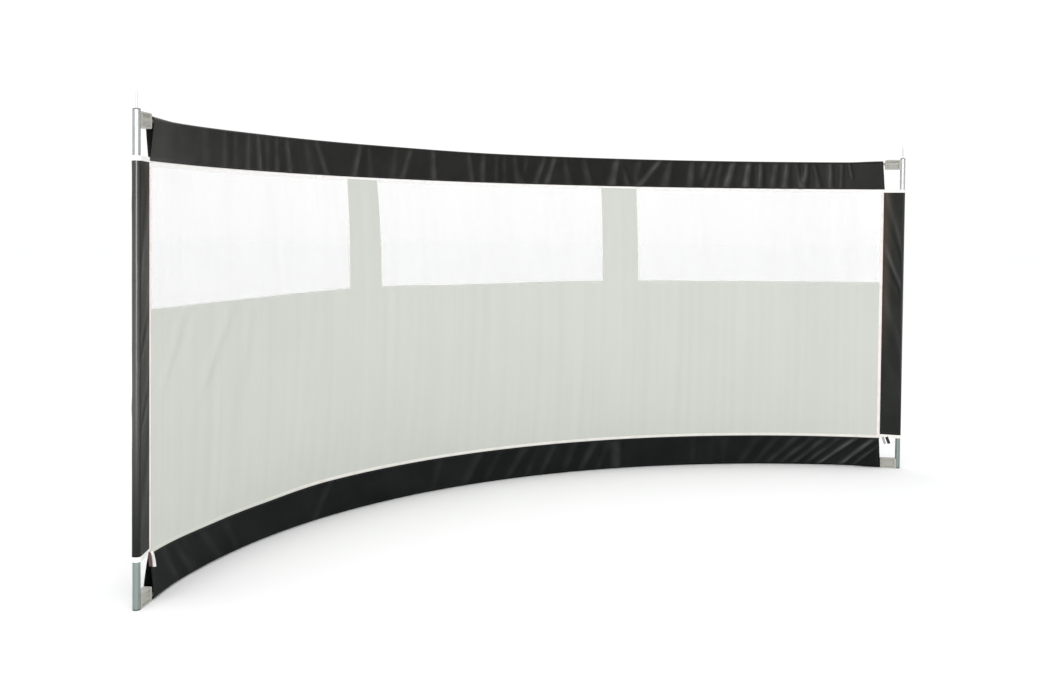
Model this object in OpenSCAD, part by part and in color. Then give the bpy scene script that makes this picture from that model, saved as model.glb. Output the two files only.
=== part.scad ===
// Beach windbreak: a bowed fabric screen held between two upright poles.
// Two rods, bowed in plan, run in fabric tunnels along the top and the hem.
// Their ends plug into corner brackets that are pegged to the poles.
// The hollow side of the bow faces -Y. The ground is at z = 0.

/* [Overall] */
// Height of a pole from the ground to the top of its cap
pole_height = 1400; // [1000:10:1800]
// Distance between the two pole axes
pole_spacing = 3440; // [2400:10:4400]
// How far the middle of the screen stands behind the line of the poles
bow_depth = 787; // [400:1:1000]

/* [Poles] */
// Outside diameter of the pole tube
pole_d = 22; // [18:0.5:28]
// Wall of the pole tube
pole_wall = 1.5; // [1:0.1:3]
// Thickness of the cap on top of the pole
cap_t = 3; // [2:0.5:8]
// Thickness of the foot under the pole
foot_t = 4; // [2:0.5:10]
// How far the cap and the foot plug into the tube
plug_depth = 22; // [12:1:34]
// Chamfer on the rims of the cap and the foot
plug_chamfer = 1; // [0.4:0.1:1.6]
// Diameter of the guy pin on top of the pole
pin_d = 5; // [3:0.5:8]
// Height of the guy pin above the cap
pin_reach = 52; // [30:1:90]
// Height of the blunt tip of the guy pin
pin_tip = 5; // [2:0.5:10]
// Step from the guy pin to its thinner root in the cap
pin_shoulder = 0.6; // [0.3:0.1:1]
// Floor of the cap under the root of the guy pin
pin_floor = 4; // [2:0.5:6]

/* [Rods] */
// Diameter of the bowed rods
rod_d = 12; // [11:0.5:14]
// Diameter of the turned tips that plug into the brackets
rod_tip_d = 9; // [6:0.5:10]

/* [Brackets] */
// Height of a corner bracket
bracket_h = 44; // [36:1:60]
// Reach of a bracket from the pole axis to the end of its arm
bracket_reach = 76; // [64:1:77]
// Thickness of the rim of the arm, front to back
bracket_t = 22; // [20:0.5:28]
// Thickness of the web inside the rim
web_t = 8; // [4:0.5:14]
// Width of the rim round the web
rim_w = 5; // [3:0.5:7]
// Corner radius of the arm
arm_corner_r = 7; // [4:0.5:9]
// Corner radius of the recess inside the rim
recess_corner_r = 3; // [1:0.5:5]
// Diameter of the peg that holds a bracket in its pole
peg_d = 7; // [5:0.5:8]
// How far the peg reaches past the wall of the pole
peg_reach = 4; // [2:0.5:6]
// Distance from the axis of the peg to the near edge of the bracket
peg_edge = 9; // [7:0.5:10]
// Wall of the round socket that takes the tip of a rod
socket_wall = 3.4; // [2:0.2:4]
// Depth of the socket
socket_depth = 46; // [30:1:54]
// How far a hem bracket reaches below the hem
hem_bracket_past = 1.5; // [0.5:0.1:2]
// How far a top bracket reaches above the top edge of the fabric
top_bracket_past = 10; // [0.5:0.5:11]

/* [Fabric] */
// Thickness of the fabric
fabric_t = 1.6; // [0.8:0.1:2.4]
// Drop from the top of the pole to the top edge of the fabric
top_drop = 17; // [10:1:60]
// Height of the top tunnel
top_sleeve_h = 121; // [80:1:180]
// Height of the hem tunnel
hem_sleeve_h = 129; // [80:1:180]
// Height of the hem above the ground
hem_lift = 2; // [2:0.5:20]
// Width of a side sleeve from the pole axis to its seam
side_sleeve_w = 78; // [78:1:110]
// Distance from the pole axis to the open end of a rod tunnel
tunnel_inset = 86; // [80:1:120]
// Width of the sewn seam that closes a tunnel
seam_w = 6; // [3:0.5:12]
// How far the tension pulls the middle of the screen in towards the poles
saddle = 40; // [0:1:60]

/* [Tapes] */
// Width of the white binding tape
tape_w = 14; // [8:1:24]
// Thickness of the white binding tape
tape_t = 2.4; // [1:0.1:3]
// Width of a loose tape tail
tail_w = 10; // [6:1:16]
// Thickness of a loose tape tail
tail_t = 1.2; // [0.6:0.1:2]
// Length of the white tail at the left corner
white_tail_left = 52; // [30:1:80]
// Length of the white tail at the right corner
white_tail_right = 36; // [30:1:80]
// Length of the black tails
black_tail = 38; // [30:1:60]
// Lean of the white tail at the left corner, away from its pole
white_lean_left = 16; // [-20:1:20]
// Lean of the white tail at the right corner, away from its pole
white_lean_right = -18; // [-20:1:20]
// Lean of the black tail at the left corner, away from its pole
black_lean_left = 12; // [-20:1:20]
// Lean of the black tail at the right corner, away from its pole
black_lean_right = -18; // [-20:1:20]

/* [Windows] */
// Height of the lower edge of the windows above the ground
window_sill = 840; // [600:10:1000]
// Width of the strips between the windows
mullion_w = 153; // [60:1:240]
// Distance from the middle of the screen to the middle of a strip, along the bow
mullion_offset = 650; // [400:10:800]
// Thickness of the clear film
film_t = 1; // [0.6:0.1:1.6]

/* [Clearances] */
// Slip gap round a pole, in a rod socket and behind a loose tape
slip = 0.3; // [0.1:0.05:0.5]
// Slack of a fabric tunnel round its rod
tunnel_slack = 0.6; // [0.5:0.1:0.9]
// Gap of a plug or a pin in its bore
plug_gap = 0.1; // [0.02:0.02:0.2]

/* [Hidden] */
$fn = 96;
bow_fn = 256;

LEFT = -1;
RIGHT = 1;

// Cutters run this far past the faces that they cut
past = 1;
// The round of a fold stands this far proud of the flat layers that leave it
fold_step = 0.1;
// Half of the gap that is left between two layers where they are sewn together
seam_gap = fabric_t / 8;
// Longest facet of the doubly curved fabric, along the bow and up
facet_w = 80;
facet_h = 70;

// Colours of the real materials
steel_colour = [0.76, 0.78, 0.77];
plug_colour = [0.33, 0.34, 0.33];
bracket_colour = [0.72, 0.73, 0.69];
rod_colour = [0.42, 0.43, 0.42];
black_colour = [0.14, 0.14, 0.14];
grey_colour = [0.83, 0.84, 0.81];
white_colour = [0.95, 0.94, 0.92];
film_colour = [0.92, 0.95, 0.96, 0.25];

// The rods run straight through the end brackets and side sleeves, then along an arc.
// The arc is tangent to both straight ends, which fixes its angle and its radius.
straight = side_sleeve_w;
half_angle = 2 * atan(bow_depth / (pole_spacing / 2 + straight));
bow_r = (pole_spacing / 2 - straight * cos(half_angle)) / sin(half_angle);
arc_half = bow_r * half_angle * PI / 180;

// Radii of a rod tunnel and of a pole sleeve
rod_r = rod_d / 2;
tunnel_in = rod_r + tunnel_slack;
tunnel_out = tunnel_in + fabric_t;
pole_r = pole_d / 2;
sleeve_in = pole_r + slip;
trim_out = sleeve_in + tape_t;
socket_r = rod_tip_d / 2 + slip;
// Length of a tip inside the full diameter of its rod
tip_root = 2 * rod_d;

// Heights
top_edge = pole_height - top_drop;
top_rod_z = top_edge - tunnel_out;
hem_rod_z = hem_lift + tunnel_out;
top_seam = top_edge - top_sleeve_h;
hem_seam = hem_lift + hem_sleeve_h;
panel_top = top_seam - tape_w;
panel_low = hem_seam + tape_w;
// From a rod to the outer edge of its brackets, and the heights of those edges
hem_rod_cover = tunnel_out + hem_bracket_past;
top_rod_cover = tunnel_out + top_bracket_past;
hem_bracket_z = hem_rod_z - hem_rod_cover;
top_bracket_z = top_rod_z + top_rod_cover;

// The peg of a bracket: its place above the outer edge, its inner end and the rim that it grows from
peg_rise = bracket_h - peg_edge;
peg_from = pole_r - pole_wall - peg_reach;
arm_root = pole_r + slip + rim_w;
// The cheeks of the arm begin beside the pole, where they still have some thickness
arm_from = pole_r / 2;

// Places along the bow, counted from its middle, in millimetres of arc
binding_at = arc_half;
panel_at = arc_half - tape_w;
tunnel_at = arc_half + straight - tunnel_inset;
mullion_in = mullion_offset - mullion_w / 2;
mullion_out = mullion_offset + mullion_w / 2;

// The origin is on the ground, midway between the front of the trims and the back of the bow
pole_y = -(bow_depth + tunnel_out - trim_out) / 2;
centre_y = pole_y + bow_depth - bow_r;

// Depth of the bore in the cap and radius of the root that it takes
pin_seat = cap_t + plug_depth - pin_floor;
pin_root_r = pin_d / 2 - pin_shoulder;

// Angle of an arc length along the bow
function bow_deg(along) = along / bow_r * 180 / PI;

// Half thickness of a teardrop at x, between its round end of radius r and its tip at (d, w)
function flare(x, d, w, r) = w + (r - w) * (d - x) / d;

// Distance from the middle of a side sleeve to the front of its trim, at x from the pole axis
function trim_front(x) = flare(x, side_sleeve_w, tape_t, trim_out);

// How far the fabric is pulled in at a place along the bow and a height: nothing at its four edges
function pull(along, z) = saddle * (1 - pow(along / panel_at, 2))
    * 4 * (z - panel_low) * (panel_top - z) / pow(panel_top - panel_low, 2);

// A point on the fabric, or off it towards the back
function fabric_point(along, z, off) =
    let (r = bow_r - pull(along, z) + off, a = bow_deg(along))
    [r * sin(a), centre_y + r * cos(a), z];

// A four-sided face as two triangles
function halves(q) = [[q[0], q[1], q[2]], [q[0], q[2], q[3]]];

// The tails lean back on the slope of the hem tunnel
tail_tilt = atan((tunnel_out - fabric_t) / (hem_seam - hem_rod_z));
white_left_x = side_sleeve_w + tape_w;
white_right_x = side_sleeve_w - 2 * seam_w;
black_left_x = side_sleeve_w - tail_w;
black_right_x = side_sleeve_w - 3 * tail_w;

// Moves from the middle of the left pole's foot, +X towards the screen, +Y to its back
module at_end(side) {
    if (side == LEFT)
        translate([-pole_spacing / 2, pole_y, 0]) rotate(half_angle) children();
    else
        mirror([1, 0, 0]) translate([-pole_spacing / 2, pole_y, 0]) rotate(half_angle) children();
}

// Sweeps a profile of radius and height along the bow, between two places on it
module bowed(from, to) {
    translate([0, centre_y, 0])
        rotate(90 - bow_deg(to))
        rotate_extrude(angle = bow_deg(to - from), $fn = bow_fn)
        children();
}

// A strip of sheet that follows the bow
module bow_strip(from, to, low, high, t) {
    bowed(from, to)
        translate([bow_r - t / 2, low])
        square([t, high - low]);
}

// A thin closed sheet over a grid of fabric points, two layers joined by a rim
module fabric_sheet(from, to, low, high, t) {
    cols = ceil((to - from) / facet_w);
    rows = ceil((high - low) / facet_h);
    function id(layer, i, j) = (layer * (cols + 1) + i) * (rows + 1) + j;
    points = [
        for (off = [-t / 2, t / 2], i = [0:cols], j = [0:rows])
            fabric_point(from + (to - from) * i / cols, low + (high - low) * j / rows, off)
    ];
    front = [
        for (i = [0:cols - 1], j = [0:rows - 1])
            [id(0, i, j), id(0, i, j + 1), id(0, i + 1, j + 1), id(0, i + 1, j)]
    ];
    back = [
        for (i = [0:cols - 1], j = [0:rows - 1])
            [id(1, i, j), id(1, i + 1, j), id(1, i + 1, j + 1), id(1, i, j + 1)]
    ];
    long_rims = [
        for (i = [0:cols - 1], rim = [
            [id(0, i, 0), id(0, i + 1, 0), id(1, i + 1, 0), id(1, i, 0)],
            [id(0, i + 1, rows), id(0, i, rows), id(1, i, rows), id(1, i + 1, rows)]
        ]) rim
    ];
    end_rims = [
        for (j = [0:rows - 1], rim = [
            [id(0, 0, j + 1), id(0, 0, j), id(1, 0, j), id(1, 0, j + 1)],
            [id(0, cols, j), id(0, cols, j + 1), id(1, cols, j + 1), id(1, cols, j)]
        ]) rim
    ];
    polyhedron(points, [for (q = concat(front, back, long_rims, end_rims), half = halves(q)) half]);
}

// Round end at the origin, drawn out to a tip of half thickness w at x = d
module teardrop(d, w, r) {
    flat = r - fold_step;
    circle(r = r);
    polygon([[d, w], [0, flat], [0, -flat], [d, -w]]);
}

// Fabric folded round a rod or a pole of radius r and sewn along its free edge
module folded_fabric(d, r, t) {
    difference() {
        teardrop(d, t, r + t);
        teardrop(d - seam_w, seam_gap, r);
    }
}

// Tube with a hole on its screen side for the peg of each bracket
module pole(side) {
    tube_h = pole_height - cap_t - foot_t;
    color(steel_colour)
        at_end(side)
        difference() {
            translate([0, 0, foot_t])
                cylinder(d = pole_d, h = tube_h);
            translate([0, 0, foot_t - past])
                cylinder(r = pole_r - pole_wall, h = tube_h + 2 * past);
            for (z = [hem_bracket_z + peg_rise, top_bracket_z - peg_rise])
                translate([0, 0, z])
                rotate([0, 90, 0])
                cylinder(d = peg_d + 2 * slip, h = pole_r + past);
        }
}

// A flanged plug that stands on z = 0, with its chamfered flange on top
module flanged_plug(flange_t) {
    translate([0, 0, -plug_depth])
        cylinder(r = pole_r - pole_wall - plug_gap, h = plug_depth);
    cylinder(r = pole_r, h = flange_t - plug_chamfer);
    translate([0, 0, flange_t - plug_chamfer])
        cylinder(r1 = pole_r, r2 = pole_r - plug_chamfer, h = plug_chamfer);
}

module cap(side) {
    color(plug_colour)
        at_end(side)
        translate([0, 0, pole_height - cap_t])
        difference() {
            flanged_plug(cap_t);
            translate([0, 0, cap_t - pin_seat])
                cylinder(r = pin_root_r + plug_gap, h = pin_seat + past);
        }
}

module foot(side) {
    color(plug_colour)
        at_end(side)
        translate([0, 0, foot_t])
        mirror([0, 0, 1])
        flanged_plug(foot_t);
}

module guy_pin(side) {
    color(steel_colour)
        at_end(side)
        translate([0, 0, pole_height]) {
            translate([0, 0, -pin_seat])
                cylinder(r = pin_root_r, h = pin_seat + past);
            cylinder(d = pin_d, h = pin_reach - pin_tip);
            translate([0, 0, pin_reach - pin_tip])
                cylinder(d1 = pin_d, d2 = pin_d / 2, h = pin_tip);
        }
}

// Side view of the arm of a bracket from a place on it, rounded at its far corners
module arm_outline(from, inset, r) {
    w = bracket_reach - inset - from;
    h = bracket_h - 2 * inset;
    translate([from, inset]) {
        square([w - r, h]);
        translate([0, r]) square([w, h - 2 * r]);
        for (z = [r, h - r])
            translate([w - r, z]) circle(r = r);
    }
}

// A slab with the side view given by its children, centred on the bow's plane
module arm_slab(t) {
    translate([0, t / 2, 0])
        rotate([90, 0, 0])
        linear_extrude(height = t)
        children();
}

// Moulded corner bracket, hollowed to the pole, with its outer edge on z = 0 and its arm along +X
module corner_bracket(rod_cover) {
    difference() {
        union() {
            arm_slab(web_t) arm_outline(arm_from, 0, arm_corner_r);
            difference() {
                arm_slab(bracket_t) arm_outline(arm_from, 0, arm_corner_r);
                arm_slab(bracket_t + 2 * past) arm_outline(arm_root, rim_w, recess_corner_r);
            }
            translate([0, 0, rod_cover])
                rotate([0, 90, 0])
                cylinder(r = socket_r + socket_wall, h = bracket_reach);
        }
        translate([0, 0, -past])
            cylinder(r = pole_r + slip, h = bracket_h + 2 * past);
        translate([bracket_reach - socket_depth, 0, rod_cover])
            rotate([0, 90, 0])
            cylinder(r = socket_r, h = socket_depth + past);
    }
    translate([peg_from, 0, peg_rise])
        rotate([0, 90, 0])
        cylinder(d = peg_d, h = arm_root - peg_from);
}

module hem_bracket(side) {
    color(bracket_colour)
        at_end(side)
        translate([0, 0, hem_bracket_z])
        corner_bracket(hem_rod_cover);
}

module top_bracket(side) {
    color(bracket_colour)
        at_end(side)
        translate([0, 0, top_bracket_z])
        mirror([0, 0, 1])
        corner_bracket(top_rod_cover);
}

// A rod: an arc with a straight turned tip in the socket of each bracket
module bowed_rod(z) {
    color(rod_colour) {
        bowed(-arc_half, arc_half)
            translate([bow_r, z])
            circle(d = rod_d);
        for (side = [LEFT, RIGHT])
            at_end(side)
            translate([bracket_reach - socket_depth, 0, z])
            rotate([0, 90, 0])
            cylinder(d = rod_tip_d, h = straight - bracket_reach + socket_depth + tip_root);
    }
}

module top_sleeve() {
    color(black_colour)
        bowed(-tunnel_at, tunnel_at)
        translate([bow_r, top_rod_z])
        rotate(-90)
        folded_fabric(top_rod_z - top_seam, tunnel_in, fabric_t);
}

module hem_sleeve() {
    color(black_colour)
        bowed(-tunnel_at, tunnel_at)
        translate([bow_r, hem_rod_z])
        rotate(90)
        folded_fabric(hem_seam - hem_rod_z, tunnel_in, fabric_t);
}

module side_sleeve(side) {
    color(black_colour)
        at_end(side)
        translate([0, 0, panel_low])
        linear_extrude(height = panel_top - panel_low)
        folded_fabric(side_sleeve_w, sleeve_in, fabric_t);
}

// White tape that binds the open end of a side sleeve, from z = low upwards
module sleeve_trim(side, low) {
    color(white_colour)
        at_end(side)
        translate([0, 0, low])
        linear_extrude(height = tape_w)
        folded_fabric(side_sleeve_w, sleeve_in, tape_t);
}

module lower_panel() {
    color(grey_colour)
        fabric_sheet(-panel_at, panel_at, panel_low, window_sill, fabric_t);
}

module mullion(side) {
    color(grey_colour)
        fabric_sheet(side * mullion_offset - mullion_w / 2, side * mullion_offset + mullion_w / 2,
            window_sill, panel_top, fabric_t);
}

module window(from, to) {
    color(film_colour)
        fabric_sheet(from, to, window_sill, panel_top, film_t);
}

module cross_binding(low) {
    color(white_colour)
        bow_strip(-binding_at, binding_at, low, low + tape_w, tape_t);
}

module end_binding(side) {
    edges = [side * panel_at, side * binding_at];
    color(white_colour)
        bow_strip(min(edges), max(edges), panel_low, panel_top, tape_t);
}

// A loose tape that hangs in front of the lower corner, x from the pole axis, y in front of the bow
module tape_tail(side, x, y, length, lean, colour) {
    color(colour)
        at_end(side)
        translate([x, -y - slip, hem_seam + tape_w / 2])
        rotate([-tail_tilt, -lean, 0])
        translate([-tail_w / 2, -tail_t, -length])
        cube([tail_w, tail_t, length]);
}

pole(LEFT);  // left_pole
pole(RIGHT);  // right_pole
cap(LEFT);  // left_cap
cap(RIGHT);  // right_cap
foot(LEFT);  // left_foot
foot(RIGHT);  // right_foot
guy_pin(LEFT);  // left_guy_pin
guy_pin(RIGHT);  // right_guy_pin
top_bracket(LEFT);  // left_top_bracket
hem_bracket(LEFT);  // left_hem_bracket
top_bracket(RIGHT);  // right_top_bracket
hem_bracket(RIGHT);  // right_hem_bracket
bowed_rod(top_rod_z);  // top_rod
bowed_rod(hem_rod_z);  // hem_rod
top_sleeve();
hem_sleeve();
side_sleeve(LEFT);  // left_side_sleeve
side_sleeve(RIGHT);  // right_side_sleeve
lower_panel();
mullion(LEFT);  // left_mullion
mullion(RIGHT);  // right_mullion
window(-panel_at, -mullion_out);  // left_window
window(-mullion_in, mullion_in);  // middle_window
window(mullion_out, panel_at);  // right_window
cross_binding(panel_top);  // top_binding
cross_binding(hem_seam);  // hem_binding
end_binding(LEFT);  // left_binding
end_binding(RIGHT);  // right_binding
sleeve_trim(LEFT, panel_top);  // left_top_trim
sleeve_trim(LEFT, hem_seam);  // left_low_trim
sleeve_trim(RIGHT, panel_top);  // right_top_trim
sleeve_trim(RIGHT, hem_seam);  // right_low_trim
tape_tail(LEFT, white_left_x, fabric_t, white_tail_left, white_lean_left, white_colour);  // left_white_tail
tape_tail(RIGHT, white_right_x, trim_front(white_right_x), white_tail_right, white_lean_right,  // right_white_tail
        white_colour);
tape_tail(LEFT, black_left_x, trim_front(black_left_x), black_tail, black_lean_left, black_colour);  // left_black_tail
tape_tail(RIGHT, black_right_x, trim_front(black_right_x), black_tail, black_lean_right, black_colour);  // right_black_tail
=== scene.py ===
"""Looks of a bowed beach windbreak, built around its packed construction.

Lengths are metres in the frame of the construction: +Z is up, the ground is at z = 0 and the hollow
side of the bow faces -Y. A place on the screen is its distance along the bow from the middle, its
height, and how far it stands off the bow towards the back.
"""

import logging
import math
from dataclasses import dataclass
from enum import Enum
from typing import Any, Callable, Mapping, Sequence

import bmesh
import bpy
import numpy as np
from mathutils import Matrix, Vector


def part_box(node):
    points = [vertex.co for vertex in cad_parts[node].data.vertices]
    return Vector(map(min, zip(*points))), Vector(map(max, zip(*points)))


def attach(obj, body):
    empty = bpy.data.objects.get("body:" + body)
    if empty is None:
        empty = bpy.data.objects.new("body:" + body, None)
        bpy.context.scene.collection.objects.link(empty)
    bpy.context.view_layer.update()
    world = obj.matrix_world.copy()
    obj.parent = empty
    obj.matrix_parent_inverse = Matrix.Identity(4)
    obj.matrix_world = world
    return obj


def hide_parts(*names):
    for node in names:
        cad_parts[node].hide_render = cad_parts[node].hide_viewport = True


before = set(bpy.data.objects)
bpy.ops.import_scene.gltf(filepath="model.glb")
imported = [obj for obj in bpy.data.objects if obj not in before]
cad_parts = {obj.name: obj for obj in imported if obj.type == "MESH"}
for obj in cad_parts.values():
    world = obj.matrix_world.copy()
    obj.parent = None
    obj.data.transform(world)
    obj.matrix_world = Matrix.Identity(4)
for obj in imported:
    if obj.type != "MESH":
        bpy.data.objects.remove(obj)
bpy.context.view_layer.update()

ROOT = "root"
STITCH_PITCH = 0.0052
LOG = logging.getLogger("windbreak")

Array = np.ndarray
Colour = tuple[float, float, float]


def srgb(red: int, green: int, blue: int) -> Colour:
    """Turns a colour of 0 to 255 a channel into linear values."""
    def linear(channel: int) -> float:
        """Undoes the display curve of one channel."""
        share = channel / 255.0
        return share / 12.92 if share <= 0.04045 else ((share + 0.055) / 1.055) ** 2.4

    return linear(red), linear(green), linear(blue)


def ease(x: Array, low: float, high: float) -> Array:
    """Rises smoothly from 0 at low to 1 at high."""
    share = np.clip((np.asarray(x, float) - low) / (high - low), 0.0, 1.0)
    return share * share * (3.0 - 2.0 * share)


class Side(Enum):
    """The two ends of the screen, as seen from the hollow side."""

    LEFT = -1
    RIGHT = 1

    @property
    def word(self) -> str:
        """Name of this end in the nodes' names."""
        return self.name.lower()


class Slot(Enum):
    """Material slots of the record."""

    TUBE = "steel_tube"
    PLUG = "plug_plastic"
    PIN = "pin_steel"
    BRACKET = "bracket_plastic"
    ROD = "rod_fibre"
    BLACK = "black_fabric"
    GREY = "grey_fabric"
    FILM = "clear_film"
    WHITE_TAPE = "white_tape"
    BLACK_TAPE = "black_tape"


class Sock:
    """A shader value that takes part in Python arithmetic.

    Each operation on it adds one Math node to its tree.
    """

    def __init__(self, tree: "Tree", link: bpy.types.NodeSocket) -> None:
        """Keeps the tree and the output that the value comes from."""
        self.tree = tree
        self.link = link

    def math(self, operation: str, *values: Any) -> "Sock":
        """Adds a Math node.

        Args:
            operation: Name of the node's operation.
            values: Numbers or values, in the order of the node's inputs.

        Returns:
            The node's result.
        """
        return self.tree.add("ShaderNodeMath", {"operation": operation}, dict(enumerate(values)))

    def __add__(self, other: Any) -> "Sock":
        """self + other."""
        return self.math("ADD", self, other)

    def __radd__(self, other: Any) -> "Sock":
        """other + self."""
        return self.math("ADD", other, self)

    def __sub__(self, other: Any) -> "Sock":
        """self - other."""
        return self.math("SUBTRACT", self, other)

    def __rsub__(self, other: Any) -> "Sock":
        """other - self."""
        return self.math("SUBTRACT", other, self)

    def __mul__(self, other: Any) -> "Sock":
        """self * other."""
        return self.math("MULTIPLY", self, other)

    def __rmul__(self, other: Any) -> "Sock":
        """other * self."""
        return self.math("MULTIPLY", other, self)

    def __truediv__(self, other: Any) -> "Sock":
        """self / other."""
        return self.math("DIVIDE", self, other)

    def __rtruediv__(self, other: Any) -> "Sock":
        """other / self."""
        return self.math("DIVIDE", other, self)

    def __pow__(self, other: Any) -> "Sock":
        """self ** other."""
        return self.math("POWER", self, other)

    def __abs__(self) -> "Sock":
        """Size without its sign."""
        return self.math("ABSOLUTE", self)

    def sine(self) -> "Sock":
        """Sine of the value, in radians."""
        return self.math("SINE", self)

    def between(self, low: float, high: float) -> "Sock":
        """Rises smoothly from 0 at low to 1 at high."""
        settings = {"interpolation_type": "SMOOTHSTEP"}
        return self.tree.add("ShaderNodeMapRange", settings, {0: self, 1: low, 2: high, 3: 0.0, 4: 1.0})


class Tree:
    """Node tree of one material or of the world."""

    def __init__(self, owner: bpy.types.ID) -> None:
        """Starts the owner's tree with nothing in it."""
        owner.use_nodes = True
        self.nodes = owner.node_tree.nodes
        self.links = owner.node_tree.links
        self.nodes.clear()

    def add(
        self,
        kind: str,
        settings: Mapping[str, Any] | None = None,
        sockets: Mapping[int | str, Any] | None = None,
        out: int | str = 0,
    ) -> Sock:
        """Adds a node.

        Args:
            kind: Type of the node.
            settings: Its properties, which are set first. "stops" holds the stops of a colour ramp.
            sockets: Values or links of its inputs, by index or name.
            out: Which of its outputs is wanted.

        Returns:
            The wanted output.
        """
        node = self.nodes.new(kind)
        for name, value in (settings or {}).items():
            if name == "stops":
                self._set_stops(node.color_ramp, value)
            else:
                setattr(node, name, value)
        for key, value in (sockets or {}).items():
            if isinstance(value, Sock):
                self.links.new(value.link, node.inputs[key])
            else:
                node.inputs[key].default_value = value
        return Sock(self, node.outputs[out]) if len(node.outputs) else Sock(self, None)

    @staticmethod
    def _set_stops(ramp: bpy.types.ColorRamp, stops: Sequence[tuple[float, Colour]]) -> None:
        """Gives a ramp its stops, each a place and a colour."""
        while len(ramp.elements) < len(stops):
            ramp.elements.new(0.5)
        for element, (place, colour) in zip(ramp.elements, stops):
            element.position = place
            element.color = (*colour, 1.0)

    def cloth(self) -> Sock:
        """Place on a sheet in metres, along it and across it."""
        return self.add("ShaderNodeUVMap", {"uv_map": Skin.CLOTH})

    def solid(self) -> Sock:
        """Place in the piece's own space, in metres."""
        return self.add("ShaderNodeTexCoord", out="Object")

    def wear_and_highlight(self) -> Sock:
        """How far a point stands out on a fold or is rubbed at a bend, from 0 to 1; it sets wear and a
        painted highlight.
        """
        return self.add("ShaderNodeAttribute", {"attribute_name": Skin.WEAR_AND_HIGHLIGHT}, out="Fac")

    def height(self) -> Sock:
        """Height above the ground, in metres."""
        return self.parts(self.add("ShaderNodeNewGeometry", out="Position"))[2]

    def weave(self, along: Sock, across: Sock, pitch: float) -> Sock:
        """Plain weave as a height of 0 to 1, with threads a pitch apart."""
        turns = 2.0 * math.pi / pitch
        return (along * turns).sine() * (across * turns).sine() * 0.5 + 0.5

    def parts(self, vector: Sock) -> tuple[Sock, Sock, Sock]:
        """Splits a vector into its three values."""
        node = self.add("ShaderNodeSeparateXYZ", sockets={0: vector}).link.node
        return tuple(Sock(self, output) for output in node.outputs)

    def scaled(self, vector: Sock, factors: tuple[float, float, float]) -> Sock:
        """Multiplies a vector part by part."""
        return self.add("ShaderNodeVectorMath", {"operation": "MULTIPLY"}, {0: vector, 1: factors})

    def noise(self, vector: Sock, scale: float, detail: float = 3.0, roughness: float = 0.55) -> Sock:
        """Soft noise from 0 to 1, with scale cycles a metre."""
        sockets = {"Vector": vector, "Scale": scale, "Detail": detail, "Roughness": roughness}
        return self.add("ShaderNodeTexNoise", sockets=sockets)

    def mix(self, share: Any, first: Any, second: Any) -> Sock:
        """Mixes two colours.

        Args:
            share: 0 for the first colour, 1 for the second.
            first: A colour or a link to one.
            second: A colour or a link to one.

        Returns:
            The mixed colour.
        """
        ends = [value if isinstance(value, Sock) else (*value, 1.0) for value in (first, second)]
        return self.add("ShaderNodeMix", {"data_type": "RGBA"}, {0: share, 6: ends[0], 7: ends[1]}, out=2)

    def bump(self, height: Sock, distance: float, strength: float = 1.0, normal: Sock | None = None) -> Sock:
        """Turns a height of 0 to 1 into a normal; distance is the height in metres."""
        sockets: dict[str, Any] = {"Height": height, "Distance": distance, "Strength": strength}
        if normal is not None:
            sockets["Normal"] = normal
        return self.add("ShaderNodeBump", sockets=sockets)

    def surface(self, sockets: Mapping[str, Any]) -> None:
        """Ends the tree in one principled shader with these inputs."""
        filled = {k: (*v, 1.0) if isinstance(v, tuple) and len(v) == 3 else v for k, v in sockets.items()}
        shader = self.add("ShaderNodeBsdfPrincipled", sockets=filled)
        self.add("ShaderNodeOutputMaterial", sockets={"Surface": shader})


@dataclass(frozen=True)
class Finish:
    """A surface finish, whose material is made at its first use.

    Attributes:
        name: Name of the material.
        colour: Main colour.
    """

    name: str
    colour: Colour

    def material(self) -> bpy.types.Material:
        """Gives the finish's material."""
        found = bpy.data.materials.get(self.name)
        if found is None:
            found = bpy.data.materials.new(self.name)
            self.dress(Tree(found))
        return found

    def dress(self, tree: Tree) -> None:
        """Fills the material's tree."""
        raise NotImplementedError


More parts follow.
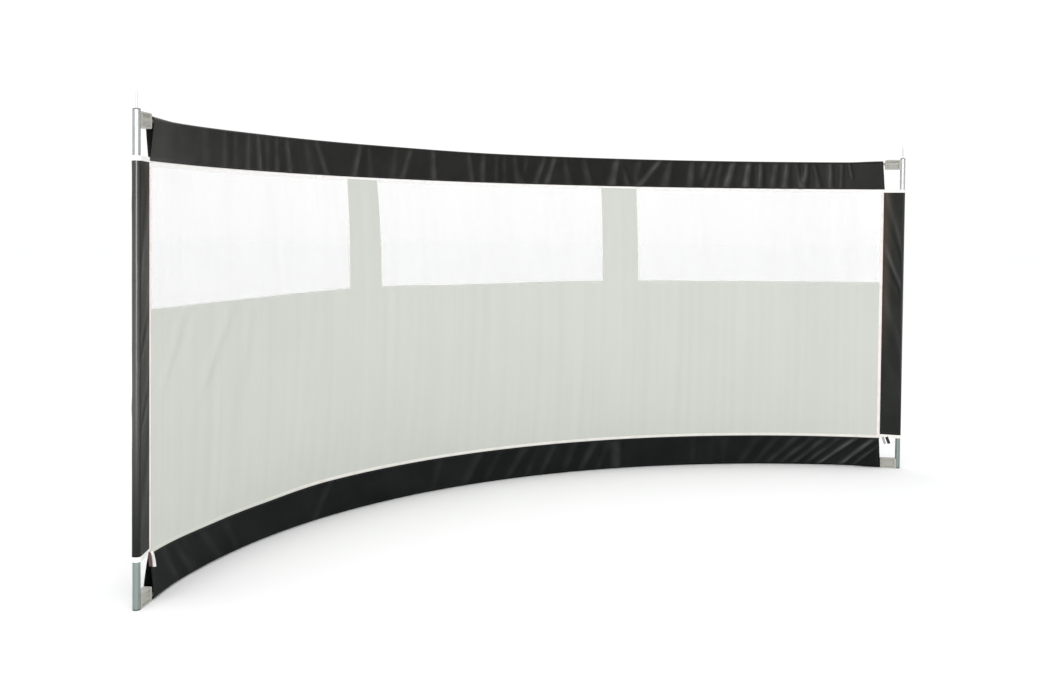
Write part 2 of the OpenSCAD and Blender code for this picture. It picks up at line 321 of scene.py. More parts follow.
@dataclass(frozen=True)
class CoatedCloth(Finish):
    """Black woven cloth with a thin coating that crinkles and is rubbed shiny along its folds, where its
    colour is also lightened as a painted highlight.

    Attributes:
        wear_and_highlight_colour: Lighter colour along folds and bends, partly rubbed wear and partly a
            painted highlight.
        roughness: Mean roughness of the coating.
        gloss: Specular level of the plain cloth.
        fade: How far the folds take on the lighter colour of wear and painted highlight, from 0 to 1.
        shine: How shiny the folds are rubbed, from 0 to 1.
        polish: Roughness of the rubbed coating.
        bend: Index of refraction of the coating.
        crinkles: Depth of the small crinkles.
        sheen: How much the cloth lightens where it is seen along its face.
        tint: How much it is browned beside its seam, away from its lower end.
        brown: Colour of that.
        pitch: Distance between two threads.
    """

    wear_and_highlight_colour: Colour = srgb(92, 90, 86)
    roughness: float = 0.42
    gloss: float = 0.4
    fade: float = 0.5
    shine: float = 0.5
    polish: float = 0.28
    bend: float = 1.5
    crinkles: float = 0.0012
    sheen: float = 0.0
    tint: float = 0.0
    brown: Colour = srgb(72, 62, 56)
    pitch: float = 0.0011

    def dress(self, tree: Tree) -> None:
        """Weave and crinkle as bump, with dusty patches, and folds lightened by wear and a painted highlight.
        """
        cloth = tree.cloth()
        along, across, _ = tree.parts(cloth)
        weave = tree.weave(along, across, self.pitch)
        crinkle = tree.noise(cloth, 42.0, detail=5.0)
        patches = tree.noise(cloth, 5.0, detail=4.0)
        wear_and_highlight = tree.wear_and_highlight()
        dull = tuple(0.7 * part for part in self.colour)
        ground = tree.mix(patches.between(0.35, 0.7), dull, self.colour)
        beside_seam = (1.0 - across.between(0.008, 0.048)) * along.between(0.45, 0.8)
        ground = tree.mix(beside_seam * self.tint, ground, self.brown)
        # Fold crests, bends and crinkle tops are lightened here: partly rubbed wear, partly a painted
        # highlight.
        colour = tree.mix(wear_and_highlight * self.fade + crinkle.between(0.6, 0.85) * 0.06, ground, self.wear_and_highlight_colour)
        roughness = self.roughness + (patches - 0.5) * 0.16 - wear_and_highlight * 0.06
        creased = tree.bump(crinkle, self.crinkles, 0.5)
        tree.surface({
            "Base Color": colour,
            "Roughness": roughness,
            "Specular IOR Level": self.gloss,
            "Coat Weight": wear_and_highlight * self.shine,
            "Coat Roughness": self.polish,
            "Coat IOR": self.bend,
            "Sheen Weight": self.sheen,
            "Sheen Roughness": 0.4,
            "Normal": tree.bump(weave, 0.00008, 0.5, creased),
        })


@dataclass(frozen=True)
class PanelCloth(Finish):
    """Pale woven cloth of the screen, with faint upright streaks.

    Attributes:
        shade: Slightly darker colour of the streaks.
        pitch: Distance between two threads.
    """

    shade: Colour = srgb(205, 208, 201)
    pitch: float = 0.0012

    def dress(self, tree: Tree) -> None:
        """Streaked and clouded colour over a plain weave."""
        cloth = tree.cloth()
        along, height, _ = tree.parts(cloth)
        weave = tree.weave(along, height, self.pitch)
        streaks = tree.noise(tree.scaled(cloth, (1.0, 0.012, 1.0)), 24.0, detail=4.0)
        clouds = tree.noise(cloth, 2.2, detail=3.0)
        slubs = tree.noise(tree.scaled(cloth, (1.0, 14.0, 1.0)), 90.0, detail=2.0)
        tone = streaks.between(0.35, 0.7) * 0.4 + clouds.between(0.3, 0.75) * 0.3 + slubs * 0.3
        soft = tree.bump(streaks, 0.0004, 0.3)
        tree.surface({
            "Base Color": tree.mix(tone, self.colour, self.shade),
            "Roughness": 0.72 + (slubs - 0.5) * 0.16,
            "Specular IOR Level": 0.22,
            "Sheen Weight": 0.12,
            "Sheen Roughness": 0.5,
            "Normal": tree.bump(weave, 0.00009, 0.6, soft),
        })


@dataclass(frozen=True)
class ClearFilm(Finish):
    """Clear window film with a slight haze.

    Attributes:
        haze: Opacity at the lower edge of a window.
        bands: How much more the hazy bands hide.
        heights: Heights of the lower and the upper edge of a window.
    """

    haze: float = 0.17
    bands: float = 0.05
    heights: tuple[float, float] = (0.84, 1.25)

    def dress(self, tree: Tree) -> None:
        """Nearly see-through, hazier in soft upright bands and towards the lower edge."""
        cloth = tree.cloth()
        up = tree.height().between(*self.heights)
        bands = tree.noise(tree.scaled(cloth, (1.0, 0.2, 1.0)), 6.0, detail=3.0)
        waves = tree.noise(cloth, 9.0, detail=2.0)
        tree.surface({
            "Base Color": self.colour,
            "Roughness": 0.08 + bands * 0.08,
            "Alpha": self.haze * (1.0 - up * 0.6) + bands.between(0.35, 0.75) * self.bands,
            "Normal": tree.bump(waves, 0.004, 0.5),
        })


@dataclass(frozen=True)
class WovenTape(Finish):
    """Ribbed binding tape.

    Attributes:
        grime: Colour of the soiled parts.
        rib: Distance between two ribs.
        dull: Colour of a greyed end.
        clean: Places along the tape between which it goes from greyed to its own colour.
    """

    grime: Colour = srgb(214, 206, 200)
    rib: float = 0.0016
    dull: Colour = srgb(214, 214, 207)
    clean: tuple[float, float] = (-9.0, -8.0)

    def dress(self, tree: Tree) -> None:
        """Ribs across the tape, slightly soiled in patches."""
        cloth = tree.cloth()
        along = tree.parts(cloth)[0]
        ribs = ((along * (2.0 * math.pi / self.rib)).sine() * 0.5 + 0.5) ** 0.7
        yarns = tree.noise(tree.scaled(cloth, (1.0, 6.0, 1.0)), 260.0, detail=2.0)
        soil = tree.noise(cloth, 24.0, detail=4.0)
        colour = tree.mix(soil.between(0.45, 0.8) * 0.5 + (1.0 - ribs) * 0.15, self.colour, self.grime)
        tree.surface({
            "Base Color": tree.mix(along.between(*self.clean), self.dull, colour),
            "Roughness": 0.78 + (yarns - 0.5) * 0.2,
            "Specular IOR Level": 0.25,
            "Sheen Weight": 0.15,
            "Normal": tree.bump(ribs * 0.8 + yarns * 0.2, 0.0003, 0.7),
        })


@dataclass(frozen=True)
class PlatedTube(Finish):
    """Drawn and plated metal, with streaks along the tube and a painted darker reflection near the ground.

    Attributes:
        dark: Colour of the duller streaks.
        painted_ground_reflection: Colour of the metal near the ground, painted darker there as the reflection
            of the ground.
        roughness: Mean roughness.
    """

    dark: Colour = srgb(172, 180, 178)
    painted_ground_reflection: Colour = srgb(150, 150, 150)
    roughness: float = 0.2

    def dress(self, tree: Tree) -> None:
        """Upright drawing streaks, faint scratches round the tube, duller patches and a darker foot painted
        as the reflection of the ground.
        """
        place = tree.solid()
        height = tree.height()
        streaks = tree.noise(tree.scaled(place, (1.0, 1.0, 0.004)), 260.0, detail=3.0)
        patches = tree.noise(tree.scaled(place, (1.0, 1.0, 0.3)), 30.0, detail=3.0)
        scratches = tree.noise(tree.scaled(place, (0.05, 0.05, 1.0)), 150.0, detail=2.0)
        tone = streaks.between(0.3, 0.75) * 0.6 + patches.between(0.4, 0.75) * 0.4
        clean = tree.mix(tone, self.colour, self.dark)
        tree.surface({
            # Darker towards the foot: a painted reflection of the ground.
            "Base Color": tree.mix((height + patches * 0.1).between(0.15, 0.4), self.painted_ground_reflection, clean),
            "Metallic": 1.0,
            "Roughness": self.roughness + streaks * 0.06 + scratches.between(0.6, 0.8) * 0.04,
            "Normal": tree.bump(streaks, 0.00004, 0.3),
        })


@dataclass(frozen=True)
class MouldedPlastic(Finish):
    """Grained moulded plastic with scuffs.

    Attributes:
        scuff: Colour of scuffed spots.
        roughness: Mean roughness.
        scuffs: How much of the surface is scuffed, from 0 to 1.
    """

    scuff: Colour = srgb(150, 150, 146)
    roughness: float = 0.48
    scuffs: float = 0.4

    def dress(self, tree: Tree) -> None:
        """Fine grain as bump, cloudy colour and pale or dark scuffs."""
        place = tree.solid()
        grain = tree.noise(place, 1500.0, detail=2.0)
        clouds = tree.noise(place, 70.0, detail=4.0)
        rubs = tree.noise(tree.scaled(place, (1.0, 1.0, 0.35)), 260.0, detail=5.0, roughness=0.7)
        mask = rubs.between(0.56, 0.72) * self.scuffs + clouds.between(0.5, 0.8) * 0.15
        tree.surface({
            "Base Color": tree.mix(mask, self.colour, self.scuff),
            "Roughness": self.roughness + (clouds - 0.5) * 0.2,
            "Specular IOR Level": 0.45,
            "Normal": tree.bump(grain * 0.8 + clouds * 0.2, 0.00015, 0.5),
        })


@dataclass(frozen=True)
class FibreRod(Finish):
    """Glass fibre rod with long fibres under a thin resin skin."""

    def dress(self, tree: Tree) -> None:
        """Fine fibres that run along the rod, under a clear coat."""
        place = tree.solid()
        fibres = tree.noise(tree.scaled(place, (0.08, 0.08, 1.0)), 1400.0, detail=3.0)
        clouds = tree.noise(place, 18.0, detail=3.0)
        pale = tuple(min(1.0, 1.5 * part) for part in self.colour)
        tree.surface({
            "Base Color": tree.mix(fibres.between(0.4, 0.7) * 0.6 + clouds * 0.2, self.colour, pale),
            "Roughness": 0.4 + fibres * 0.15,
            "Coat Weight": 0.3,
            "Coat Roughness": 0.15,
            "Normal": tree.bump(fibres, 0.0001, 0.4),
        })


@dataclass(frozen=True)
class Thread(Finish):
    """Twisted sewing thread."""

    def dress(self, tree: Tree) -> None:
        """Slight change of tone from stitch to stitch and fine fibres."""
        place = tree.solid()
        tone = tree.noise(place, 55.0, detail=2.0)
        fuzz = tree.noise(place, 2400.0, detail=2.0)
        worn = tuple(0.75 * part + 0.02 for part in self.colour)
        tree.surface({
            "Base Color": tree.mix(tone.between(0.3, 0.7), self.colour, worn),
            "Roughness": 0.6 + (fuzz - 0.5) * 0.3,
            "Sheen Weight": 0.2,
            "Normal": tree.bump(fuzz, 0.00008, 0.6),
        })


TOP_BLACK = CoatedCloth(
    "top_black_cloth", srgb(36, 36, 34), srgb(88, 87, 83), 0.34, 0.10, 0.45, 0.42, 0.3, sheen=0.12
)
SIDE_BLACK = CoatedCloth(
    "side_black_cloth", srgb(43, 45, 42), srgb(70, 66, 61), 0.32, 0.06, 0.1, 1.0, 0.3, 1.9, 0.00015, tint=0.8
)
HEM_BLACK = CoatedCloth("hem_black_cloth", srgb(32, 34, 34), srgb(70, 71, 70), 0.36, 0.015, 0.4, 0.75, 0.3)
PANEL_GREY = PanelCloth("panel_grey_cloth", srgb(207, 209, 202), srgb(199, 202, 195))
CLEAR_FILM = ClearFilm("clear_window_film", srgb(228, 228, 227), 0.2)
FILM_HEM = ClearFilm("doubled_film_hem", srgb(252, 251, 249), 0.3)
WHITE_TAPE = WovenTape("white_woven_tape", srgb(248, 246, 243))
ROSE_TAPE = WovenTape("rosy_white_tape", srgb(247, 239, 236), srgb(222, 198, 192))
# Greyed towards its left end.
CREAM_TAPE = WovenTape("cream_woven_tape", srgb(236, 234, 227), clean=(-1.35, -0.75))
ASH_TAPE = WovenTape("ash_woven_tape", srgb(176, 172, 166), srgb(120, 116, 112))
BLACK_TAPE = WovenTape("black_woven_tape", srgb(44, 40, 41), srgb(70, 64, 64))
DUSKY_TAPE = WovenTape("dusky_woven_tape", srgb(92, 72, 74), srgb(118, 98, 99))
# Its third colour is the painted darker reflection at the foot of the pole.
BRIGHT_TUBE = PlatedTube(
    "bright_plated_tube", srgb(236, 238, 236), srgb(205, 210, 208), srgb(141, 153, 149), 0.36
)
PIN_METAL = PlatedTube("pale_pin_metal", srgb(240, 240, 238), srgb(214, 214, 211), roughness=0.6)
GREY_PLASTIC = MouldedPlastic("pale_grey_plastic", srgb(174, 173, 166), srgb(138, 137, 131), 0.46, 0.5)
DARK_PLASTIC = MouldedPlastic("dark_grey_plastic", srgb(84, 85, 84), srgb(130, 130, 127), 0.5, 0.45)
ROD_FIBRE = FibreRod("glass_fibre_rod", srgb(168, 167, 161))
BLACK_THREAD = Thread("black_thread", srgb(34, 34, 34))
WHITE_THREAD = Thread("white_thread", srgb(236, 234, 230))


def link(name: str, data: bpy.types.ID) -> bpy.types.Object:
    """Makes an object of this data and links it to the scene."""
    made = bpy.data.objects.new(name, data)
    bpy.context.scene.collection.objects.link(made)
    return made


def unit(vectors: Array) -> Array:
    """Vectors of length 1 in the same directions."""
    return vectors / np.linalg.norm(vectors, axis=-1, keepdims=True)


def grid_normals(points: Array) -> Array:
    """Unit normals of a grid of points, from its two directions."""
    return unit(np.cross(np.gradient(points, axis=0), np.gradient(points, axis=1)))


def normals_at(surface: Callable[[Array, Array], Array], first: Array, second: Array) -> Array:
    """Unit normals of a surface at some places.

    Args:
        surface: Gives its points.
        first: Places in its first direction.
        second: Places in its second direction.

    Returns:
        The normals, all on the same side of it.
    """
    small = 1.0e-4
    along = surface(first + small, second) - surface(first - small, second)
    across = surface(first, second + small) - surface(first, second - small)
    return unit(np.cross(along, across))


class Skin:
    """Points and faces of one piece, gathered patch by patch."""

    CLOTH = "cloth"
    WEAR_AND_HIGHLIGHT = "wear_and_highlight"
    SHARP = math.radians(50.0)

    def __init__(self) -> None:
        """Starts with no points."""
        self.points: list[Array] = []
        self.places: list[Array] = []
        self.wear_and_highlight: list[Array] = []
        self.faces: list[list[int]] = []
        self.count = 0

    def _push(self, points: Array, places: Array, wear_and_highlight: Array | float = 0.0) -> Array:
        """Adds points with their places on the cloth and their wear and painted highlight.

        Args:
            points: Points, with x, y and z last.
            places: Place of each on its sheet, in metres.
            wear_and_highlight: How far each stands out on a fold, which sets its wear and its painted
                highlight.

        Returns:
            Their indices, in the same grid.
        """
        shape = points.shape[:-1]
        index = self.count + np.arange(int(np.prod(shape))).reshape(shape)
        self.points.append(points.reshape(-1, 3))
        self.places.append(np.broadcast_to(places, (*shape, 2)).reshape(-1, 2))
        self.wear_and_highlight.append(np.broadcast_to(wear_and_highlight, shape).reshape(-1))
        self.count += index.size
        return index

    def _quads(self, index: Array) -> None:
        """Adds the quads of a grid of indices."""
        corners = (index[:-1, :-1], index[1:, :-1], index[1:, 1:], index[:-1, 1:])
        self.faces.extend(np.stack(corners, -1).reshape(-1, 4).tolist())

    def sheet(
        self, middle: Array, thickness: Array | float, places: Array, wear_and_highlight: Array | float = 0.0
    ) -> None:
        """Adds a closed thin sheet.

        Args:
            middle: Grid of points on its middle surface.
            thickness: Its thickness, for all of it or for each point.
            places: Place of each point on the flat sheet, in metres.
            wear_and_highlight: How far each point stands out on a fold, which sets its wear and its painted
                highlight.
        """
        half = np.broadcast_to(thickness, middle.shape[:2])[..., None] / 2.0
        normals = grid_normals(middle) * half
        front = self._push(middle + normals, places, wear_and_highlight)
        back = self._push(middle - normals, places, wear_and_highlight)
        self._quads(front)
        self._quads(back[:, ::-1])
        ring = [np.concatenate([g[:-1, 0], g[-1, :-1], g[:0:-1, -1], g[0, :0:-1]]) for g in (front, back)]
        after = [np.roll(edge, -1) for edge in ring]
        self.faces.extend(np.stack([after[0], ring[0], ring[1], after[1]], -1).tolist())

    def tubes(self, rings: Array, places: Array) -> None:
        """Adds closed tubes with flat ends.

        Args:
            rings: Points of each tube, its rings and the points round each ring.
            places: Place of each point on the flat piece, in metres.
        """
        index = self._push(rings, places)
        for tube in index:
            self._quads(np.concatenate([tube, tube[:, :1]], axis=1))
            self.faces.extend([tube[0].tolist(), tube[-1, ::-1].tolist()])

    def stitches(self, points: Array, normals: Array, length: float, thread: float) -> None:
        """Adds a row of stitches that dive into the cloth at both ends.

        Args:
            points: Middle of each stitch, on the cloth.
            normals: Way out of the cloth at each.
            length: Length of a stitch.
            thread: Radius of the thread.
        """
        run = unit(np.gradient(points, axis=0))
        aside = np.cross(run, normals)
        step = np.array([-1.0, -0.6, 0.6, 1.0])[None, :, None, None] * length / 2.0
        lift = np.array([-0.8, 0.45, 0.45, -0.8])[None, :, None, None] * thread
        size = np.array([0.55, 1.0, 1.0, 0.55])[None, :, None, None] * thread
        turn = np.linspace(0.0, 2.0 * math.pi, 5, endpoint=False)[None, None, :, None]
        run, out, aside = (v[:, None, None, :] for v in (run, normals, aside))
        round_way = np.cos(turn) * aside + np.sin(turn) * out
        rings = points[:, None, None, :] + run * step + out * lift + round_way * size
        self.tubes(rings, np.zeros(2))

    def piece(self, name: str, finish: Finish) -> bpy.types.Object:
        """Makes the object.

        Args:
            name: Its name.
            finish: Its finish.

        Returns:
            The new object, linked to the scene.
        """
        mesh = bpy.data.meshes.new(name)
        mesh.from_pydata(np.concatenate(self.points).tolist(), [], self.faces)
        solid = bmesh.new()
        solid.from_mesh(mesh)
        bmesh.ops.recalc_face_normals(solid, faces=solid.faces)
        solid.to_mesh(mesh)
        solid.free()
        corner = np.zeros(len(mesh.loops), int)
        mesh.loops.foreach_get("vertex_index", corner)
        flat = mesh.uv_layers.new(name=self.CLOTH)
        flat.uv.foreach_set("vector", np.concatenate(self.places)[corner].astype(np.float32).ravel())
        worn = mesh.attributes.new(self.WEAR_AND_HIGHLIGHT, "FLOAT", "POINT")
        worn.data.foreach_set("value", np.concatenate(self.wear_and_highlight).astype(np.float32))
        mesh.polygons.foreach_set("use_smooth", np.ones(len(mesh.polygons), bool))
        mesh.set_sharp_from_angle(angle=self.SHARP)
        mesh.materials.append(finish.material())
        return link(name, mesh)


def seat(piece: bpy.types.Object, slot: Slot, *nodes: str) -> bpy.types.Object:
    """Hangs a finished piece on the construction and reports it.

    Args:
        piece: The piece.
        slot: Slot of the record; not used.
        nodes: Nodes of the construction that it stands for.

    Returns:
        The same piece.
    """
    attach(piece, ROOT)
    if nodes:
        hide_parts(*nodes)
    LOG.info("%s: %d faces, in place of %s", piece.name, len(piece.data.polygons), ", ".join(nodes) or "none")
    return piece


@dataclass(frozen=True)
class Sag:
    """A place where the sewing is off its true height.

    Attributes:
        along: Its middle, along the bow.
        flat: Half width of its full part.
        reach: Half width of all of it.
        heights: Heights at which it begins, is full, begins to fade and ends.
        rise: How far the cloth is off, upwards.
    """

    along: float
    flat: float
    reach: float
    heights: tuple[float, float, float, float]
    rise: float

    def shift(self, along: Array, height: Array) -> Array:
        """How far the cloth is off its true height at these places."""
        begin, full, fade, end = self.heights
        upright = ease(height, begin, full) * (1.0 - ease(height, fade, end))
        return self.rise * upright * (1.0 - ease(np.abs(along - self.along), self.flat, self.reach))


HEM_LEVELS = (0.02, 0.125, 0.16, 0.55)
SILL_LEVELS = (0.45, 0.80, 0.86, 1.15)
TOP_LEVELS = (1.22, 1.36, 2.0, 2.1)
SAGS = (
    Sag(-1.33, 0.12, 0.50, HEM_LEVELS, -0.0085),
    Sag(-0.85, 0.30, 0.90, TOP_LEVELS, 0.0035),
    Sag(-1.50, 0.12, 0.62, SILL_LEVELS, -0.0068),
    Sag(-0.58, 0.08, 0.38, SILL_LEVELS, 0.0055),
    Sag(0.55, 0.25, 0.55, SILL_LEVELS, 0.0032),
)


@dataclass(frozen=True)
class Bow:
    """Plan curve of the rods: straight at the poles, then one arc that is tangent to both ends.

    Attributes:
        pole_x: Half of the distance between the pole axes.
        pole_y: Place of the line through both poles.
        depth: How far the middle stands behind that line.
        straight: Length of each straight end.
    """

    pole_x: float
    pole_y: float
    depth: float
    straight: float

    @property
    def half_angle(self) -> float:
        """Half of the angle of the arc."""
        return 2.0 * math.atan(self.depth / (self.pole_x + self.straight))

    @property
    def radius(self) -> float:
        """Radius of the arc."""
        return (self.pole_x - self.straight * math.cos(self.half_angle)) / math.sin(self.half_angle)

    @property
    def arc_half(self) -> float:
        """Distance along the bow from its middle to the end of the arc."""
        return self.radius * self.half_angle

    def locate(self, along: Array, height: Array, out: Array | float = 0.0) -> Array:
        """Turns places on the screen into points.

        Args:
            along: Distance from the middle, along the bow.
            height: Height above the ground.
            out: Distance off the bow, towards its back.

        Returns:
            The points.
        """
        along, height, out = np.broadcast_arrays(along, height, out)
        angle = np.clip(along / self.radius, -self.half_angle, self.half_angle)
        beyond = along - angle * self.radius
        centre_y = self.pole_y + self.depth - self.radius
        x = (self.radius + out) * np.sin(angle) + beyond * np.cos(angle)
        y = centre_y + (self.radius + out) * np.cos(angle) - beyond * np.sin(angle)
        return np.stack([x, y, height + sum(sag.shift(along, height) for sag in SAGS)], -1)


@dataclass(frozen=True)
class Strip:
    """A pale strip between two windows.

    Attributes:
        top: Its two edges at the top, along the bow.
        low: Its two edges at the sill.
    """

    top: tuple[float, float]
    low: tuple[float, float]


STRIPS = {
    Side.LEFT: Strip((-0.7285, -0.5725), (-0.7420, -0.5775)),
    Side.RIGHT: Strip((0.5635, 0.7335), (0.5595, 0.7340)),
}


@dataclass(frozen=True)
class Layout:
    """Sizes that the pieces share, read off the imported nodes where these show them.

    Attributes:
        bow: Plan curve of the screen.
        pole_r: Radius of a pole.
        rod_r: Radius of a rod.
        top_rod_z: Height of the top rod.
        hem_rod_z: Height of the hem rod.
        top_seam: Height of the seam under the top tunnel.
        hem_seam: Height of the seam above the hem tunnel.
        panel_low: Lower edge of the screen.
        panel_top: Upper edge of the screen.
        sill: Lower edge of the windows.
        tunnel_inset: Distance from a pole axis to the open end of a tunnel.
        saddle: How far the middle of the screen is pulled in.
        lap: How far the screen laps over the tape at its top.
    """

    bow: Bow
    pole_r: float
    rod_r: float
    top_rod_z: float
    hem_rod_z: float
    top_seam: float
    hem_seam: float
    panel_low: float
    panel_top: float
    sill: float
    tunnel_inset: float = 0.086
    saddle: float = 0.040
    lap: float = 0.0035

    @classmethod
    def from_frame(cls, side_sleeve_w: float = 0.078) -> "Layout":
        """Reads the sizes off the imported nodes.

        Args:
            side_sleeve_w: Width of a side sleeve, from the pole axis to its seam.

        Returns:
            The layout.
        """
        pole_low, pole_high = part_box("right_pole")
        rod_low, rod_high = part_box("top_rod")
        hem_low, hem_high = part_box("hem_rod")
        rod_r = (rod_high.z - rod_low.z) / 2.0
        pole_y = (pole_low.y + pole_high.y) / 2.0
        bow = Bow((pole_low.x + pole_high.x) / 2.0, pole_y, rod_high.y - rod_r - pole_y, side_sleeve_w)
        return cls(
            bow=bow,
            pole_r=(pole_high.x - pole_low.x) / 2.0,
            rod_r=rod_r,
            top_rod_z=(rod_high.z + rod_low.z) / 2.0,
            hem_rod_z=(hem_high.z + hem_low.z) / 2.0,
            top_seam=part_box("top_sleeve")[0].z,
            hem_seam=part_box("hem_sleeve")[1].z,
            panel_low=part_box("lower_panel")[0].z,
            panel_top=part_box("middle_window")[1].z,
            sill=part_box("lower_panel")[1].z,
        )

    @property
    def tape_w(self) -> float:
        """Width of the binding tape."""
        return self.panel_low - self.hem_seam

    @property
    def panel_at(self) -> float:
        """Distance from the middle to the end of the screen, along the bow."""
        return self.bow.arc_half - self.tape_w

    @property
    def tunnel_at(self) -> float:
        """Distance from the middle to the open end of a tunnel, along the bow."""
        return self.bow.arc_half + self.bow.straight - self.tunnel_inset

    def pull(self, along: Array, height: Array) -> Array:
        """How far the cloth is pulled in towards the poles: nothing at its four edges."""
        tall = self.panel_top - self.panel_low
        upright = 4.0 * (height - self.panel_low) * (self.panel_top - height) / tall**2
        lengthwise = 1.0 - (along / self.panel_at) ** 2
        return self.saddle * np.clip(upright, 0.0, None) * np.clip(lengthwise, 0.0, None)

    def from_pole(self, side: Side, reach: Array, out: Array, height: Array) -> Array:
        """Points near a pole.

        Args:
            side: Which pole.
            reach: Distance from its axis towards the screen.
            out: Distance off the plane of the straight end, towards the back.
            height: Height above the ground.

        Returns:
            The points.
        """
        end = self.bow.arc_half + self.bow.straight
        return self.bow.locate(side.value * (end - np.asarray(reach)), height, out)


@dataclass(frozen=True)
class Fold:
    """One ridge in a folded strip, from its rod to its seam.

    Attributes:
        at_rod: Its place along the strip, beside the rod.
        at_seam: Its place along the strip, at the seam.
        width: Its half width.
        rise: Its height; a groove has a negative one.
        end: Share of the way from the rod to the seam at which it has faded out.
    """

    at_rod: float
    at_seam: float
    width: float
    rise: float
    end: float = 2.0

    SPREAD = 1.05
    WIDENING = 0.45
    FADE = 0.3
    GROOVE_DEPTH = 0.6
    GROOVE_OFF = 1.9
    GROOVE_WIDTH = 1.3

    def relief(self, along: Array, share: Array) -> Array:
        """Height of the cloth on this ridge and in the groove beside it.

        Args:
            along: Place along the strip.
            share: 0 beside the rod, 1 at the seam.

        Returns:
            Height off the plain strip.
        """
        off = along - self.at_rod - (self.at_seam - self.at_rod) * share
        off = off / (self.width * (self.SPREAD + self.WIDENING * share))
        left = 1.0 - ease(share, self.end - self.FADE, self.end)
        uneven = 0.85 + 0.15 * np.sin(9.0 * share + 60.0 * self.at_rod)
        groove = self.GROOVE_DEPTH * np.exp(-(((off - self.GROOVE_OFF) / self.GROOVE_WIDTH) ** 2))
        return self.rise * left * uneven * (np.exp(-off**2) - groove)


def scatter_folds(
    seed: int, low: float, high: float, spacing: float, lean: float, width: float, rise: float
) -> list[Fold]:
    """Small puckers at uneven distances along a strip.

    Args:
        seed: Start of the random draws.
        low: Place of the first.
        high: Place where they end.
        spacing: Mean distance between two.
        lean: Largest shift from rod to seam.
        width: Mean half width.
        rise: Mean height.

    Returns:
        The puckers.
    """
    draw = np.random.default_rng(seed)
    folds = []
    at = low
    while at < high:
        shift = draw.uniform(-lean, lean)
        half_width = width * draw.uniform(0.6, 1.5)
        height = rise * draw.uniform(0.35, 1.4)
        folds.append(Fold(at - shift, at + shift, half_width, height))
        at += spacing * draw.uniform(0.55, 1.5)
    return folds


